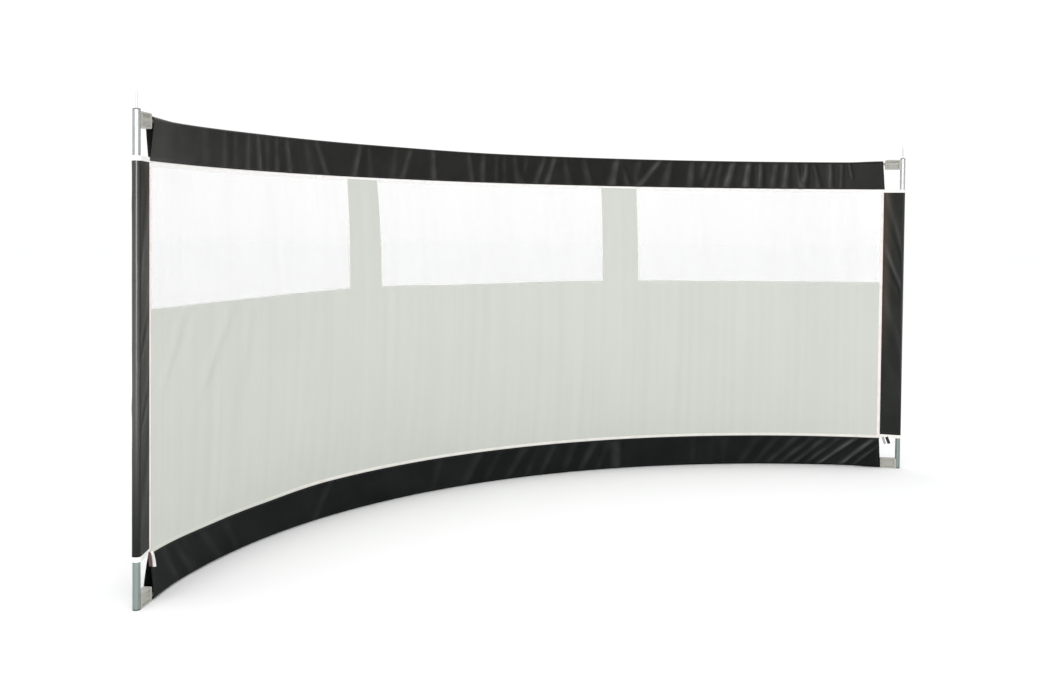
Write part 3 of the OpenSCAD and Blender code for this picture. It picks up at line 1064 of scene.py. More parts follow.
@dataclass
class FoldedStrip:
    """Cloth folded round a rod or a pole and sewn along its free edges.

    Attributes:
        layout: Sizes of the screen.
        name: Name of the piece.
        node: Node that it stands for.
        finish: Finish of the cloth.
        radius: Radius of the fold, to the middle of the cloth.
        depth: Distance from the axis of the fold to the seam.
        low: Start of the strip, lengthwise.
        high: End of the strip, lengthwise.
        folds: Ridges of the side that faces the hollow of the bow.
        back_folds: Ridges of the other side.
        thickness: Thickness of the cloth.
        gap: Half of the distance between the two layers at the seam.
        step: Length of a face along the strip.
        slant: How much further each end reaches at the seam than at the fold.
        flare: How far the front and the back layer spread at each open end.
        swell: How far the fold itself stands out at each open end.
        rub: How shiny the cloth is rubbed where it bends round its rod or pole, and how far its colour is
            lightened there as a painted highlight.
        crest: How shiny it is rubbed along its ridges, and how far their colour is lightened as a painted
            highlight.
    """

    layout: Layout
    name: str
    node: str
    finish: Finish
    radius: float
    depth: float
    low: float
    high: float
    folds: Sequence[Fold] = ()
    back_folds: Sequence[Fold] = ()
    thickness: float = 0.0010
    gap: float = 0.0014
    step: float = 0.0052
    slant: tuple[float, float] = (0.0, 0.0)
    flare: tuple[float, float] = (0.0, 0.0)
    swell: float = 0.0
    rub: float = 0.0
    crest: float = 1.0

    SIDE_ROWS = 22
    TURN_ROWS = 13
    FLARE_LENGTH = 0.16
    RUB_LENGTH = 0.5
    SEAM_INSET = 0.005
    END_INSET = 0.012
    STITCH_LENGTH = 0.0038
    THREAD_R = 0.00042
    CLEAR = 0.00015
    GROOVE_SLOPE = 0.03
    GROOVE_START = 0.1

    @property
    def side_length(self) -> float:
        """Length of one layer, from the seam to the fold."""
        return math.hypot(self.depth, self.radius - self.gap)

    @property
    def width(self) -> float:
        """Flat width of the strip."""
        return 2.0 * self.side_length + math.pi * self.radius

    def spot(self, along: Array, depth: Array, out: Array) -> Array:
        """Point at a place along the strip, at a depth from the fold's axis and a distance off its plane."""
        raise NotImplementedError

    def relief(self, along: Array, path: Array) -> tuple[Array, Array]:
        """Height of the folds.

        Args:
            along: Place along the strip.
            path: Distance round the strip, from the seam in front to the seam at the back.

        Returns:
            The height off the plain strip, and the share from the fold to the seam.
        """
        half_turn = math.pi * self.radius / 2.0
        front = path < self.side_length + half_turn
        from_seam = np.where(front, path, self.width - path)
        share = 1.0 - from_seam / self.side_length
        held = ease(1.0 - share, 0.0, 0.07) * ease(share, -half_turn / self.side_length, 0.1)
        height = np.zeros(np.broadcast(along, path).shape)
        for ridge in self.folds:
            height = height + np.where(front, ridge.relief(along, share), 0.0)
        for ridge in self.back_folds:
            height = height + np.where(front, 0.0, ridge.relief(along, share))
        share = np.clip(share, 0.0, 1.0)
        inside = np.sqrt(np.maximum(self.radius**2 - (self.depth * share) ** 2, 0.0))
        room = self.radius - (self.radius - self.gap) * share - inside
        groove = self.GROOVE_SLOPE * share**2 / (share + self.GROOVE_START)
        return np.maximum(height * held, -self.CLEAR - np.minimum(room, groove)), share

    def middle(self, along: Array, path: Array) -> Array:
        """Points on the middle surface of the cloth.

        Args:
            along: Place along the strip.
            path: Distance round the strip, from the seam in front.

        Returns:
            The points.
        """
        along, path = np.broadcast_arrays(along, path)
        turn = math.pi * self.radius
        part = np.clip(path / self.side_length, 0.0, 1.0)
        rest = np.clip((path - self.side_length - turn) / self.side_length, 0.0, 1.0)
        angle = np.clip((path - self.side_length) / self.radius, 0.0, math.pi)
        flare = self.radius - self.gap
        depth = self.depth * (1.0 - part) - self.radius * np.sin(angle) + self.depth * rest
        out = np.where(angle < math.pi, -self.radius * np.cos(angle), self.radius)
        out = np.where(part < 1.0, -(self.gap + flare * part), out)
        out = np.where(rest > 0.0, self.radius - flare * rest, out)
        height, share = self.relief(along, path)
        inside = np.minimum(along - self.low, self.high - along)
        spread = (1.0 - ease(inside, 0.0, self.FLARE_LENGTH)) * (1.0 - share) ** 0.7
        flare = np.where(angle < math.pi / 2.0, *self.flare)
        depth = depth - np.sin(angle) * (height + self.swell * spread)
        out = out - np.cos(angle) * (height + flare * spread)
        return self.spot(along, depth, out)

    def lengthwise(self, path: Array, count: int) -> Array:
        """Places along the strip for a grid, which follow its slanted ends."""
        turn = math.pi * self.radius
        from_seam = np.minimum(path, self.width - path)
        reach = np.clip(1.0 - from_seam / (self.side_length + turn / 2.0), 0.0, 1.0)
        low = self.low - self.slant[0] * reach
        high = self.high + self.slant[1] * reach
        return low + (high - low) * np.linspace(0.0, 1.0, count)[:, None]

    def rows(self) -> Array:
        """Distances round the strip at which a grid has its rows."""
        side, turn = self.side_length, math.pi * self.radius
        seam = np.array([0.0, 0.5, 1.0]) * self.SEAM_INSET
        first = np.concatenate([seam, np.linspace(2.0 * self.SEAM_INSET, side, self.SIDE_ROWS)])
        bend = np.linspace(side, side + turn, self.TURN_ROWS)[1:-1]
        return np.concatenate([first, bend, self.width - first[::-1]])

    def outside(self, along: Array, path: Array) -> tuple[Array, Array]:
        """Points on the outside of the cloth and the way out of it.

        Args:
            along: Places along the strip.
            path: Distances round the strip.

        Returns:
            The points and the unit normals.
        """
        halfway, bend = np.array([(self.low + self.high) / 2.0]), np.array([self.width / 2.0])
        away = self.middle(halfway, bend) - self.spot(halfway, np.zeros(1), np.zeros(1))
        way_out = np.sign(np.sum(normals_at(self.middle, halfway, bend) * away))
        normal = way_out * normals_at(self.middle, along, path)
        return self.middle(along, path) + normal * self.thickness / 2.0, normal

    def build(self) -> Skin:
        """Makes the cloth's mesh."""
        path = self.rows()[None, :]
        count = int((self.high - self.low) / self.step) + 2
        along = self.lengthwise(path, count)
        skin = Skin()
        height, _ = self.relief(along, path)
        top = max((ridge.rise for ridge in (*self.folds, *self.back_folds)), default=1.0)
        turn = math.pi * self.radius
        bend = ease(np.minimum(path, self.width - path), self.side_length, self.side_length + 0.3 * turn)
        rub = self.rub * bend * ease(along, self.low, self.low + self.RUB_LENGTH)
        # This mask lightens ridges and the bend as a painted highlight, as well as setting their rubbed coat.
        wear_and_highlight = np.clip(np.maximum(self.crest * height / top, rub), 0.0, 1.0)
        places = np.stack(np.broadcast_arrays(along, path), -1)
        skin.sheet(self.middle(along, path), self.thickness, places, wear_and_highlight)
        return skin

    def seam_rows(self) -> Skin:
        """Makes the stitches along both seams and across both open ends."""
        skin = Skin()
        along = np.arange(self.low + 0.004, self.high - 0.004, STITCH_PITCH)
        rows = [(along, np.full_like(along, at)) for at in (self.SEAM_INSET, self.width - self.SEAM_INSET)]
        path = np.arange(0.008, self.width - 0.008, STITCH_PITCH)
        start, stop = self.lengthwise(path[None, :], 2)
        rows += [(start + self.END_INSET, path), (stop - self.END_INSET, path)]
        for row in rows:
            skin.stitches(*self.outside(*row), self.STITCH_LENGTH, self.THREAD_R)
        return skin

    def dress(self, slot: Slot, with_pieces: Sequence[bpy.types.Object], rests_on: Sequence[str]) -> None:
        """Args:
            slot: Slot of the cloth.
            with_pieces: Other pieces that are sewn to it; not used.
            rests_on: What it is held by; not used.
        """
        cloth = seat(self.build().piece(self.name, self.finish), slot, self.node)
        thread = seat(self.seam_rows().piece(f"{self.name}_stitches", BLACK_THREAD), Slot.BLACK_TAPE)
        size = (self.width, self.high - self.low)


@dataclass
class RodTunnel(FoldedStrip):
    """A tunnel along the bow, round one of the rods.

    Attributes:
        rod_z: Height of its rod.
        way: +1 where the seam is above the rod, -1 where it is below.
    """

    rod_z: float = 0.0
    way: int = 1

    def spot(self, along: Array, depth: Array, out: Array) -> Array:
        """Point at a place along the bow, at a depth from the rod and a distance off the bow."""
        return self.layout.bow.locate(along, self.rod_z + self.way * depth, out)


@dataclass
class PoleSleeve(FoldedStrip):
    """A sleeve round one of the poles.

    Attributes:
        side: Which pole.
    """

    side: Side = Side.LEFT

    def spot(self, along: Array, depth: Array, out: Array) -> Array:
        """Point at a height, at a depth from the pole axis and a distance off the bow."""
        return self.layout.from_pole(self.side, depth, out, along)


@dataclass
class ScreenCloth:
    """The sheet between the tunnels: panel, strips, windows and tapes share its surface.

    Attributes:
        layout: Sizes of the screen.
        waves: Number of faint upright ripples.
        seed: Start of the random draws.
    """

    layout: Layout
    waves: int = 26
    seed: int = 11

    RIPPLE = 0.0003
    PANEL_T = 0.0011
    FILM_T = 0.0006

    def __post_init__(self) -> None:
        """Draws the ripples and places the soft folds under the left window."""
        draw = np.random.default_rng(self.seed)
        self.lengths = 0.05 * 8.0 ** draw.random(self.waves)
        self.phases = draw.uniform(0.0, 2.0 * math.pi, self.waves)
        self.leans = draw.uniform(-0.06, 0.06, self.waves)
        self.sizes = self.RIPPLE * draw.uniform(0.3, 1.0, self.waves) * np.sqrt(self.lengths / 0.2)
        self.folds = (
            Fold(-1.655, -2.060, 0.022, -0.0042),
            Fold(-1.380, -1.840, 0.025, -0.0042),
            Fold(-1.265, -1.480, 0.023, -0.0024),
        )

    def ripple(self, along: Array, height: Array) -> Array:
        """Small waves of the cloth, towards its back."""
        rise = np.zeros(np.broadcast(along, height).shape)
        for length, phase, lean, size in zip(self.lengths, self.phases, self.leans, self.sizes):
            rise = rise + size * np.sin(2.0 * math.pi * (along + lean * height) / length + phase)
        lay = self.layout
        share = (lay.sill - height) / (lay.sill - lay.panel_low)
        fade = ease(share, 0.0, 0.06) * (1.0 - ease(share, 0.3, 0.65))
        for ridge in self.folds:
            rise = rise + ridge.relief(along, share) * fade
        ends = ease(lay.panel_at - np.abs(along), 0.0, 0.12)
        edges = ease(height - lay.panel_low, 0.0, 0.06) * ease(lay.panel_top - height, 0.0, 0.06)
        return rise * ends * edges

    def middle(self, along: Array, height: Array, out: Array | float = 0.0) -> Array:
        """Points on the middle surface of the screen, or off it towards the back."""
        lay = self.layout
        return lay.bow.locate(along, height, self.ripple(along, height) - lay.pull(along, height) + out)

    def outside(self, along: Array, height: Array, lift: float) -> tuple[Array, Array]:
        """Points in front of the screen and the way out of it there.

        Args:
            along: Places along the bow.
            height: Heights.
            lift: Distance in front of the middle surface.

        Returns:
            The points and the unit normals.
        """
        normal = normals_at(self.middle, along, height)
        normal *= np.sign(-normal[..., 1:2] * math.copysign(1.0, lift))
        return self.middle(along, height) + normal * abs(lift), normal

    def patch(
        self,
        skin: Skin,
        ends: tuple[float, float],
        levels: tuple[float, float],
        thickness: float,
        step: float = 0.011,
        crown: float = 0.0,
        swell: float = 0.0,
        turned: bool = False,
        low_ends: tuple[float, float] | None = None,
    ) -> None:
        """Adds a piece of the screen to a mesh.

        Args:
            skin: The mesh.
            ends: Its two ends along the bow.
            levels: Its lower and upper edge.
            thickness: Its thickness.
            step: Length of a face.
            crown: How much thinner its long edges are, for a tape, from 0 to 1.
            swell: Height of its own slack waves, which end at its edges.
            turned: Whether a tape runs upwards, so that its ribs lie level.
            low_ends: Its two ends at its lower edge, where they differ from those at its upper edge.
        """
        cols = max(4, int((ends[1] - ends[0]) / step) + 2)
        rows = max(4, int((levels[1] - levels[0]) / (1.5 * step)) + 2)
        share, tall = np.meshgrid(np.linspace(0.0, 1.0, cols), np.linspace(0.0, 1.0, rows), indexing="ij")
        start, stop = (low + (top - low) * tall for low, top in zip(low_ends or ends, ends))
        along = start + (stop - start) * share
        height = levels[0] + (levels[1] - levels[0]) * tall
        round_edge = 1.0 - crown * np.abs(2.0 * (share if turned else tall) - 1.0) ** 3
        out = 0.0
        if swell:
            inside = ease(along - start, 0.0, 0.1) * ease(stop - along, 0.0, 0.1)
            inside = inside * ease(height - levels[0], 0.0, 0.08) * ease(levels[1] - height, 0.0, 0.08)
            out = swell * inside * np.sin(9.0 * along + 3.0 * tall) * np.cos(4.0 * along - 2.2 * tall)
        places = np.stack([height, along] if turned else [along, height], -1)
        skin.sheet(self.middle(along, height, out), thickness * round_edge, places)


@dataclass
class Panels:
    """The pale cloth: the lower panel and the two strips between the windows.

    Attributes:
        screen: Surface that they lie on.
    """

    screen: ScreenCloth

    def build(self) -> None:
        lay = self.screen.layout
        whole = (-lay.panel_at, lay.panel_at)
        self._sheet("lower_panel", Strip(whole, whole), (lay.panel_low, lay.sill))
        for side in Side:
            self._sheet(f"{side.word}_mullion", STRIPS[side], (lay.sill, lay.panel_top + lay.lap))

    def _sheet(self, node: str, strip: Strip, levels: tuple[float, float]) -> None:
        """Makes one sheet in place of a node."""
        skin = Skin()
        self.screen.patch(skin, strip.top, levels, ScreenCloth.PANEL_T, low_ends=strip.low)
        cloth = seat(skin.piece(f"{node}_cloth", PANEL_GREY), Slot.GREY, node)
        flat = (strip.low[1] - strip.low[0], levels[1] - levels[0])


@dataclass
class Windows:
    """Three sheets of clear film, each with a narrow hem round it.

    Attributes:
        screen: Surface that they lie on.
        hem: Width of the hem.
        hem_t: Thickness of the hem.
    """

    screen: ScreenCloth
    hem: float = 0.009
    hem_t: float = 0.0019

    SLACK = 0.0016
    HEM_STEP = 0.009
    STITCH_LENGTH = 0.0036
    THREAD_R = 0.0004

    def build(self) -> None:
        lay = self.screen.layout
        left, right = STRIPS[Side.LEFT], STRIPS[Side.RIGHT]
        end = lay.panel_at
        spans = {
            "left_window": Strip((-end, left.top[0]), (-end, left.low[0])),
            "middle_window": Strip((left.top[1], right.top[0]), (left.low[1], right.low[0])),
            "right_window": Strip((right.top[1], end), (right.low[1], end)),
        }
        for node, span in spans.items():
            self._window(node, span, (lay.sill, lay.panel_top + lay.lap))

    def _window(self, node: str, span: Strip, levels: tuple[float, float]) -> None:
        """Makes one window with its hem and stitches."""
        film = Skin()
        self.screen.patch(film, span.top, levels, ScreenCloth.FILM_T, swell=self.SLACK, low_ends=span.low)
        hem = Skin()
        low, high = levels
        for first, last in ((0.0, self.hem), (-self.hem, 0.0)):
            edge = 0 if last else 1
            top, foot = ((at + first, at + last) for at in (span.top[edge], span.low[edge]))
            self.screen.patch(
                hem, top, levels, self.hem_t, self.HEM_STEP, crown=0.5, turned=True, low_ends=foot
            )
        stitches = Skin()
        bars = ((span.low, low - self.hem / 2.0), (span.top, high - self.hem))
        for (start, stop), under in bars:
            inside = (start + self.hem, stop - self.hem)
            self.screen.patch(hem, inside, (under, under + self.hem), self.hem_t, self.HEM_STEP, crown=0.5)
            along = np.arange(start + 0.006, stop - 0.004, STITCH_PITCH)
            spot = self.screen.outside(along, np.full_like(along, under + self.hem / 2.0), self.hem_t / 2.0)
            stitches.stitches(*spot, self.STITCH_LENGTH, self.THREAD_R)
        clear = seat(film.piece(f"{node}_film", CLEAR_FILM), Slot.FILM, node)
        edge = seat(hem.piece(f"{node}_hem", FILM_HEM), Slot.FILM)
        thread = seat(stitches.piece(f"{node}_stitches", WHITE_THREAD), Slot.WHITE_TAPE)
        flat = (span.low[1] - span.low[0], high - low)


@dataclass
class Bindings:
    """Tapes between the screen and the black cloth.

    Attributes:
        screen: Surface that they lie on.
        thickness: Thickness of the folded tape.
    """

    screen: ScreenCloth
    thickness: float = 0.0024

    def build(self) -> None:
        lay = self.screen.layout
        end = lay.bow.arc_half
        self._tape("top_binding", WHITE_TAPE, (-end, end), (lay.panel_top + lay.lap, lay.top_seam))
        self._tape("hem_binding", CREAM_TAPE, (-end, end), (lay.hem_seam, lay.panel_low))
        levels = (lay.panel_low, lay.panel_top)
        self._tape("left_binding", ROSE_TAPE, (-end, -lay.panel_at), levels, True)
        self._tape("right_binding", ROSE_TAPE, (lay.panel_at, end), levels, True)

    def _tape(
        self,
        node: str,
        finish: Finish,
        ends: tuple[float, float],
        levels: tuple[float, float],
        turned: bool = False,
    ) -> None:
        """Makes one tape in place of a node."""
        skin = Skin()
        self.screen.patch(skin, ends, levels, self.thickness, 0.006, crown=0.55, turned=turned)
        tape = seat(skin.piece(f"{node}_tape", finish), Slot.WHITE_TAPE, node)
        flat = (ends[1] - ends[0], levels[1] - levels[0])


@dataclass
class Tail:
    """A loose end of tape that hangs at a lower corner.

    Attributes:
        layout: Sizes of the screen.
        side: Corner that it hangs at.
        node: Node that it stands for.
        finish: Its finish.
        slot: Slot of the record.
        route: Its points from top to bottom: reach from the pole axis, distance in front, height.
        twist: How far it turns on its way down, in degrees.
        width: Its width.
        thickness: Its thickness.
    """

    layout: Layout
    side: Side
    node: str
    finish: Finish
    slot: Slot
    route: Sequence[tuple[float, float, float]]
    twist: float = 0.0
    width: float = 0.010
    thickness: float = 0.0011

    def build(self) -> None:
        knots = np.array(self.route, float)
        at = np.linspace(0.0, 1.0, len(knots))
        fine = np.linspace(0.0, 1.0, 33)
        shape = np.stack([self._curve(at, knots[:, k], fine) for k in range(3)], -1)
        run = unit(np.gradient(shape[:, [0, 2]], axis=0))
        across = np.linspace(-0.5, 0.5, 5)[None, :] * self.width
        turn = math.radians(self.twist) * ease(fine, 0.0, 0.4)[:, None]
        reach = shape[:, None, 0] - run[:, None, 1] * across * np.cos(turn)
        height = shape[:, None, 2] + run[:, None, 0] * across * np.cos(turn)
        front = shape[:, None, 1] + across * np.sin(turn)
        middle = self.layout.from_pole(self.side, reach, -front, height)
        length = float(np.sum(np.linalg.norm(np.diff(shape, axis=0), axis=-1)))
        places = np.stack(np.broadcast_arrays(fine[:, None] * length, across), -1)
        skin = Skin()
        skin.sheet(middle, self.thickness, places)
        tape = seat(skin.piece(f"{self.node}_tape", self.finish), self.slot, self.node)
        self.width

    @staticmethod
    def _curve(at: Array, values: Array, fine: Array) -> Array:
        """Smooth curve through values, as a polynomial of low degree."""
        return np.polyval(np.polyfit(at, values, min(3, len(at) - 1)), fine)


@dataclass
class Hardware:
    """Poles, plugs, pins, brackets and rods, which keep the shapes of the construction."""

    def dress(self) -> None:
        """Gives each node its finish."""
        for side in Side:
            for piece, finish in (
                ("pole", BRIGHT_TUBE),
                ("cap", DARK_PLASTIC),
                ("foot", DARK_PLASTIC),
                ("guy_pin", PIN_METAL),
                ("top_bracket", GREY_PLASTIC),
                ("hem_bracket", GREY_PLASTIC),
            ):
                self._finish(f"{side.word}_{piece}", finish)
        for rod in ("top_rod", "hem_rod"):
            self._finish(rod, ROD_FIBRE)

    @staticmethod
    def _finish(node: str, finish: Finish) -> None:
        """Puts a finish on a node of the construction."""
        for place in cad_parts[node].material_slots:
            place.material = finish.material()
        LOG.info("%s: %s", node, finish.name)


@dataclass
class Tunnels:
    """The two rod tunnels, with their folds.

    Attributes:
        layout: Sizes of the screen.
        slack: Distance from the rod to the middle of the cloth.
        lap: How far each tunnel laps over its tape.
        right_reach: How much further the hem tunnel reaches on the right.
    """

    layout: Layout
    slack: float = 0.0011
    lap: float = 0.002
    right_reach: float = 0.010

    def build(self) -> None:
        """Makes both tunnels."""
        lay = self.layout
        common = {"layout": lay, "radius": lay.rod_r + self.slack, "low": -lay.tunnel_at}
        RodTunnel(
            name="top_sleeve_cloth",
            node="top_sleeve",
            finish=TOP_BLACK,
            depth=lay.top_rod_z - lay.top_seam + self.lap,
            high=lay.tunnel_at,
            rod_z=lay.top_rod_z,
            way=-1,
            folds=self._top_folds(),
            back_folds=scatter_folds(5, -1.8, 1.8, 0.13, 0.02, 0.014, 0.0022),
            slant=(0.004, 0.010),
            flare=(0.006, 0.006),
            swell=0.005,
            **common,
        ).dress(Slot.BLACK, [], ["top_rod"])
        RodTunnel(
            name="hem_sleeve_cloth",
            node="hem_sleeve",
            finish=HEM_BLACK,
            depth=lay.hem_seam - lay.hem_rod_z + self.lap,
            high=lay.tunnel_at + self.right_reach,
            rod_z=lay.hem_rod_z,
            way=1,
            folds=self._hem_folds(),
            back_folds=scatter_folds(6, -1.8, 1.8, 0.15, 0.03, 0.016, 0.0022),
            slant=(0.004, -0.006),
            flare=(0.006, 0.014),
            swell=0.001,
            **common,
        ).dress(Slot.BLACK, [], ["hem_rod"])

    @staticmethod
    def _top_folds() -> list[Fold]:
        """Puckers of the top tunnel: deep on the right, faint on the left."""
        right = [
            Fold(0.634, 0.614, 0.014, 0.0052),
            Fold(0.657, 0.690, 0.010, 0.0036),
            Fold(0.746, 0.716, 0.014, 0.0022),
            Fold(0.840, 0.742, 0.013, 0.0060),
            Fold(0.892, 0.868, 0.015, 0.0034),
            Fold(0.998, 0.990, 0.012, 0.0040),
            Fold(1.060, 1.030, 0.010, 0.0030, 0.8),
            Fold(1.100, 1.064, 0.010, 0.0030),
            Fold(1.135, 1.112, 0.009, 0.0024),
            Fold(1.192, 1.158, 0.012, 0.0054),
            Fold(1.264, 1.252, 0.011, 0.0048),
            Fold(1.318, 1.314, 0.010, 0.0046),
            Fold(1.390, 1.374, 0.011, 0.0028),
            Fold(1.438, 1.428, 0.012, 0.0046),
            Fold(1.478, 1.502, 0.009, 0.0022),
            Fold(1.526, 1.515, 0.010, 0.0054),
            Fold(1.557, 1.585, 0.009, 0.0022),
            Fold(1.633, 1.634, 0.009, 0.0050),
            Fold(1.683, 1.680, 0.008, 0.0024),
            Fold(1.714, 1.740, 0.006, 0.0046, 0.7),
        ]
        middle = [
            Fold(-0.625, -0.608, 0.012, 0.0016),
            Fold(-0.482, -0.496, 0.012, 0.0018),
            Fold(-0.405, -0.448, 0.011, 0.0034),
            Fold(-0.288, -0.278, 0.011, 0.0042),
            Fold(-0.105, -0.081, 0.010, 0.0030),
            Fold(-0.029, -0.032, 0.013, 0.0038),
            Fold(0.037, 0.038, 0.010, 0.0018),
            Fold(0.075, 0.080, 0.011, 0.0020),
            Fold(0.128, 0.148, 0.013, 0.0022),
            Fold(0.188, 0.170, 0.011, 0.0020),
            Fold(0.278, 0.234, 0.011, 0.0040),
            Fold(0.327, 0.288, 0.012, 0.0052),
            Fold(0.378, 0.405, 0.013, 0.0022),
            Fold(0.474, 0.506, 0.014, 0.0026),
        ]
        left = [
            Fold(-1.540, -1.538, 0.016, 0.0014),
            Fold(-1.422, -1.416, 0.012, 0.0018),
            Fold(-1.360, -1.352, 0.013, 0.0014),
            Fold(-1.286, -1.284, 0.011, 0.0028),
            Fold(-1.230, -1.212, 0.009, 0.0040),
            Fold(-1.178, -1.176, 0.012, 0.0020),
            Fold(-1.128, -1.117, 0.010, 0.0028),
            Fold(-1.070, -1.041, 0.010, 0.0038),
            Fold(-0.962, -0.924, 0.013, 0.0018),
            Fold(-0.906, -0.840, 0.011, 0.0034),
            Fold(-0.672, -0.699, 0.011, 0.0048),
        ]
        end = scatter_folds(23, -1.80, -1.58, 0.09, 0.03, 0.03, 0.0012)
        return right + middle + left + end

    @staticmethod
    def _hem_folds() -> list[Fold]:
        """Folds of the hem tunnel: sharp and slanted on the right, broad elsewhere."""
        sharp = [
            Fold(1.755, 1.900, 0.013, 0.0050),
            Fold(1.703, 1.850, 0.013, 0.0075),
            Fold(1.602, 1.772, 0.014, 0.0078),
            Fold(1.545, 1.700, 0.015, 0.0036),
            Fold(1.490, 1.640, 0.016, 0.0034),
            Fold(1.430, 1.580, 0.016, 0.0030),
            Fold(1.370, 1.510, 0.016, 0.0024),
            Fold(1.310, 1.420, 0.017, 0.0018),
            Fold(1.240, 1.330, 0.018, 0.0014),
        ]
        crease = [
            Fold(0.650, 0.645, 0.022, 0.0042),
            Fold(0.704, 0.738, 0.008, 0.0016, 0.7),
        ]
        broad = [
            Fold(0.474, 0.548, 0.018, 0.0030),
            Fold(0.556, 0.604, 0.016, 0.0020),
            Fold(0.392, 0.448, 0.016, 0.0016),
            Fold(0.276, 0.346, 0.015, 0.0020),
            Fold(0.205, 0.262, 0.015, 0.0014),
            Fold(0.105, 0.205, 0.018, 0.0020),
            Fold(-0.005, 0.075, 0.018, 0.0012),
            Fold(-0.112, -0.028, 0.020, 0.0018),
            Fold(-0.275, -0.232, 0.016, 0.0010),
            Fold(-0.905, -0.812, 0.018, 0.0013),
        ]
        upright = scatter_folds(31, 1.02, 1.28, 0.085, 0.006, 0.018, 0.0008)
        left = [
            Fold(-1.34, -1.41, 0.020, 0.0008),
            Fold(-1.44, -1.55, 0.020, 0.0010),
            Fold(-1.58, -1.66, 0.018, 0.0010),
            Fold(-1.61, -1.72, 0.018, 0.0012),
            Fold(-1.70, -1.79, 0.018, 0.0011),
        ]
        return sharp + crease + broad + upright + left


@dataclass
class SideSleeves:
    """The two pole sleeves and the tapes that bind their open ends.

    Attributes:
        layout: Sizes of the screen.
        slack: Distance from the pole to the middle of the cloth.
        tape_out: How much further out the tape lies.
    """

    layout: Layout
    slack: float = 0.0010
    tape_out: float = 0.0012

    TOP_LIFT = {Side.LEFT: 0.008, Side.RIGHT: -0.002}
    LOW_LIFT = 0.006
    SEAM_LAP = 0.001
    TRIM_LAP = 0.0012
    TAPE_LAP = 0.002
    CREASES = {
        Side.LEFT: (
            Fold(0.700, 0.815, 0.018, 0.0014),
            Fold(0.500, 0.600, 0.016, 0.0012),
            Fold(0.950, 1.180, 0.050, 0.0012),
            Fold(0.250, 0.420, 0.050, 0.0010),
        ),
        Side.RIGHT: (
            Fold(0.930, 1.160, 0.030, -0.0020),
            Fold(0.778, 0.949, 0.018, -0.0036),
            Fold(0.550, 0.780, 0.050, 0.0012),
            Fold(0.360, 0.500, 0.050, 0.0008),
        ),
    }

    def build(self) -> None:
        """Makes both sleeves with their tapes."""
        lay = self.layout
        for number, side in enumerate(Side):
            top_lift, low_lift = self.TOP_LIFT[side], self.LOW_LIFT
            tapes = [
                self._trim(side, f"{side.word}_top_trim", lay.panel_top + top_lift, lay.top_seam + top_lift),
                self._trim(side, f"{side.word}_low_trim", lay.hem_seam + low_lift, lay.panel_low + low_lift),
            ]
            PoleSleeve(
                layout=lay,
                name=f"{side.word}_side_sleeve_cloth",
                node=f"{side.word}_side_sleeve",
                finish=SIDE_BLACK,
                radius=lay.pole_r + self.slack,
                depth=lay.bow.straight + self.SEAM_LAP,
                low=lay.panel_low + low_lift - self.TAPE_LAP,
                high=lay.panel_top + top_lift + self.TAPE_LAP,
                side=side,
                folds=self.CREASES[side],
                back_folds=scatter_folds(50 + number, lay.panel_low, lay.panel_top, 0.16, 0.08, 0.03, 0.0014),
                step=0.006,
                rub=0.9,
                crest=0.15,
            ).dress(Slot.BLACK, tapes, [f"{side.word}_pole"])

    def _trim(self, side: Side, node: str, low: float, high: float) -> bpy.types.Object:
        """Makes the tape round one open end of a sleeve."""
        lay = self.layout
        strip = PoleSleeve(
            layout=lay,
            name=f"{node}_tape",
            node=node,
            finish=WHITE_TAPE,
            radius=lay.pole_r + self.slack + self.tape_out,
            depth=lay.bow.straight + self.TRIM_LAP,
            low=low,
            high=high,
            side=side,
            thickness=0.0014,
            gap=0.0022,
            step=0.003,
        )
        skin = strip.build()
        skin.places = [patch[:, ::-1] for patch in skin.places]
        return seat(skin.piece(strip.name, strip.finish), Slot.WHITE_TAPE, node)


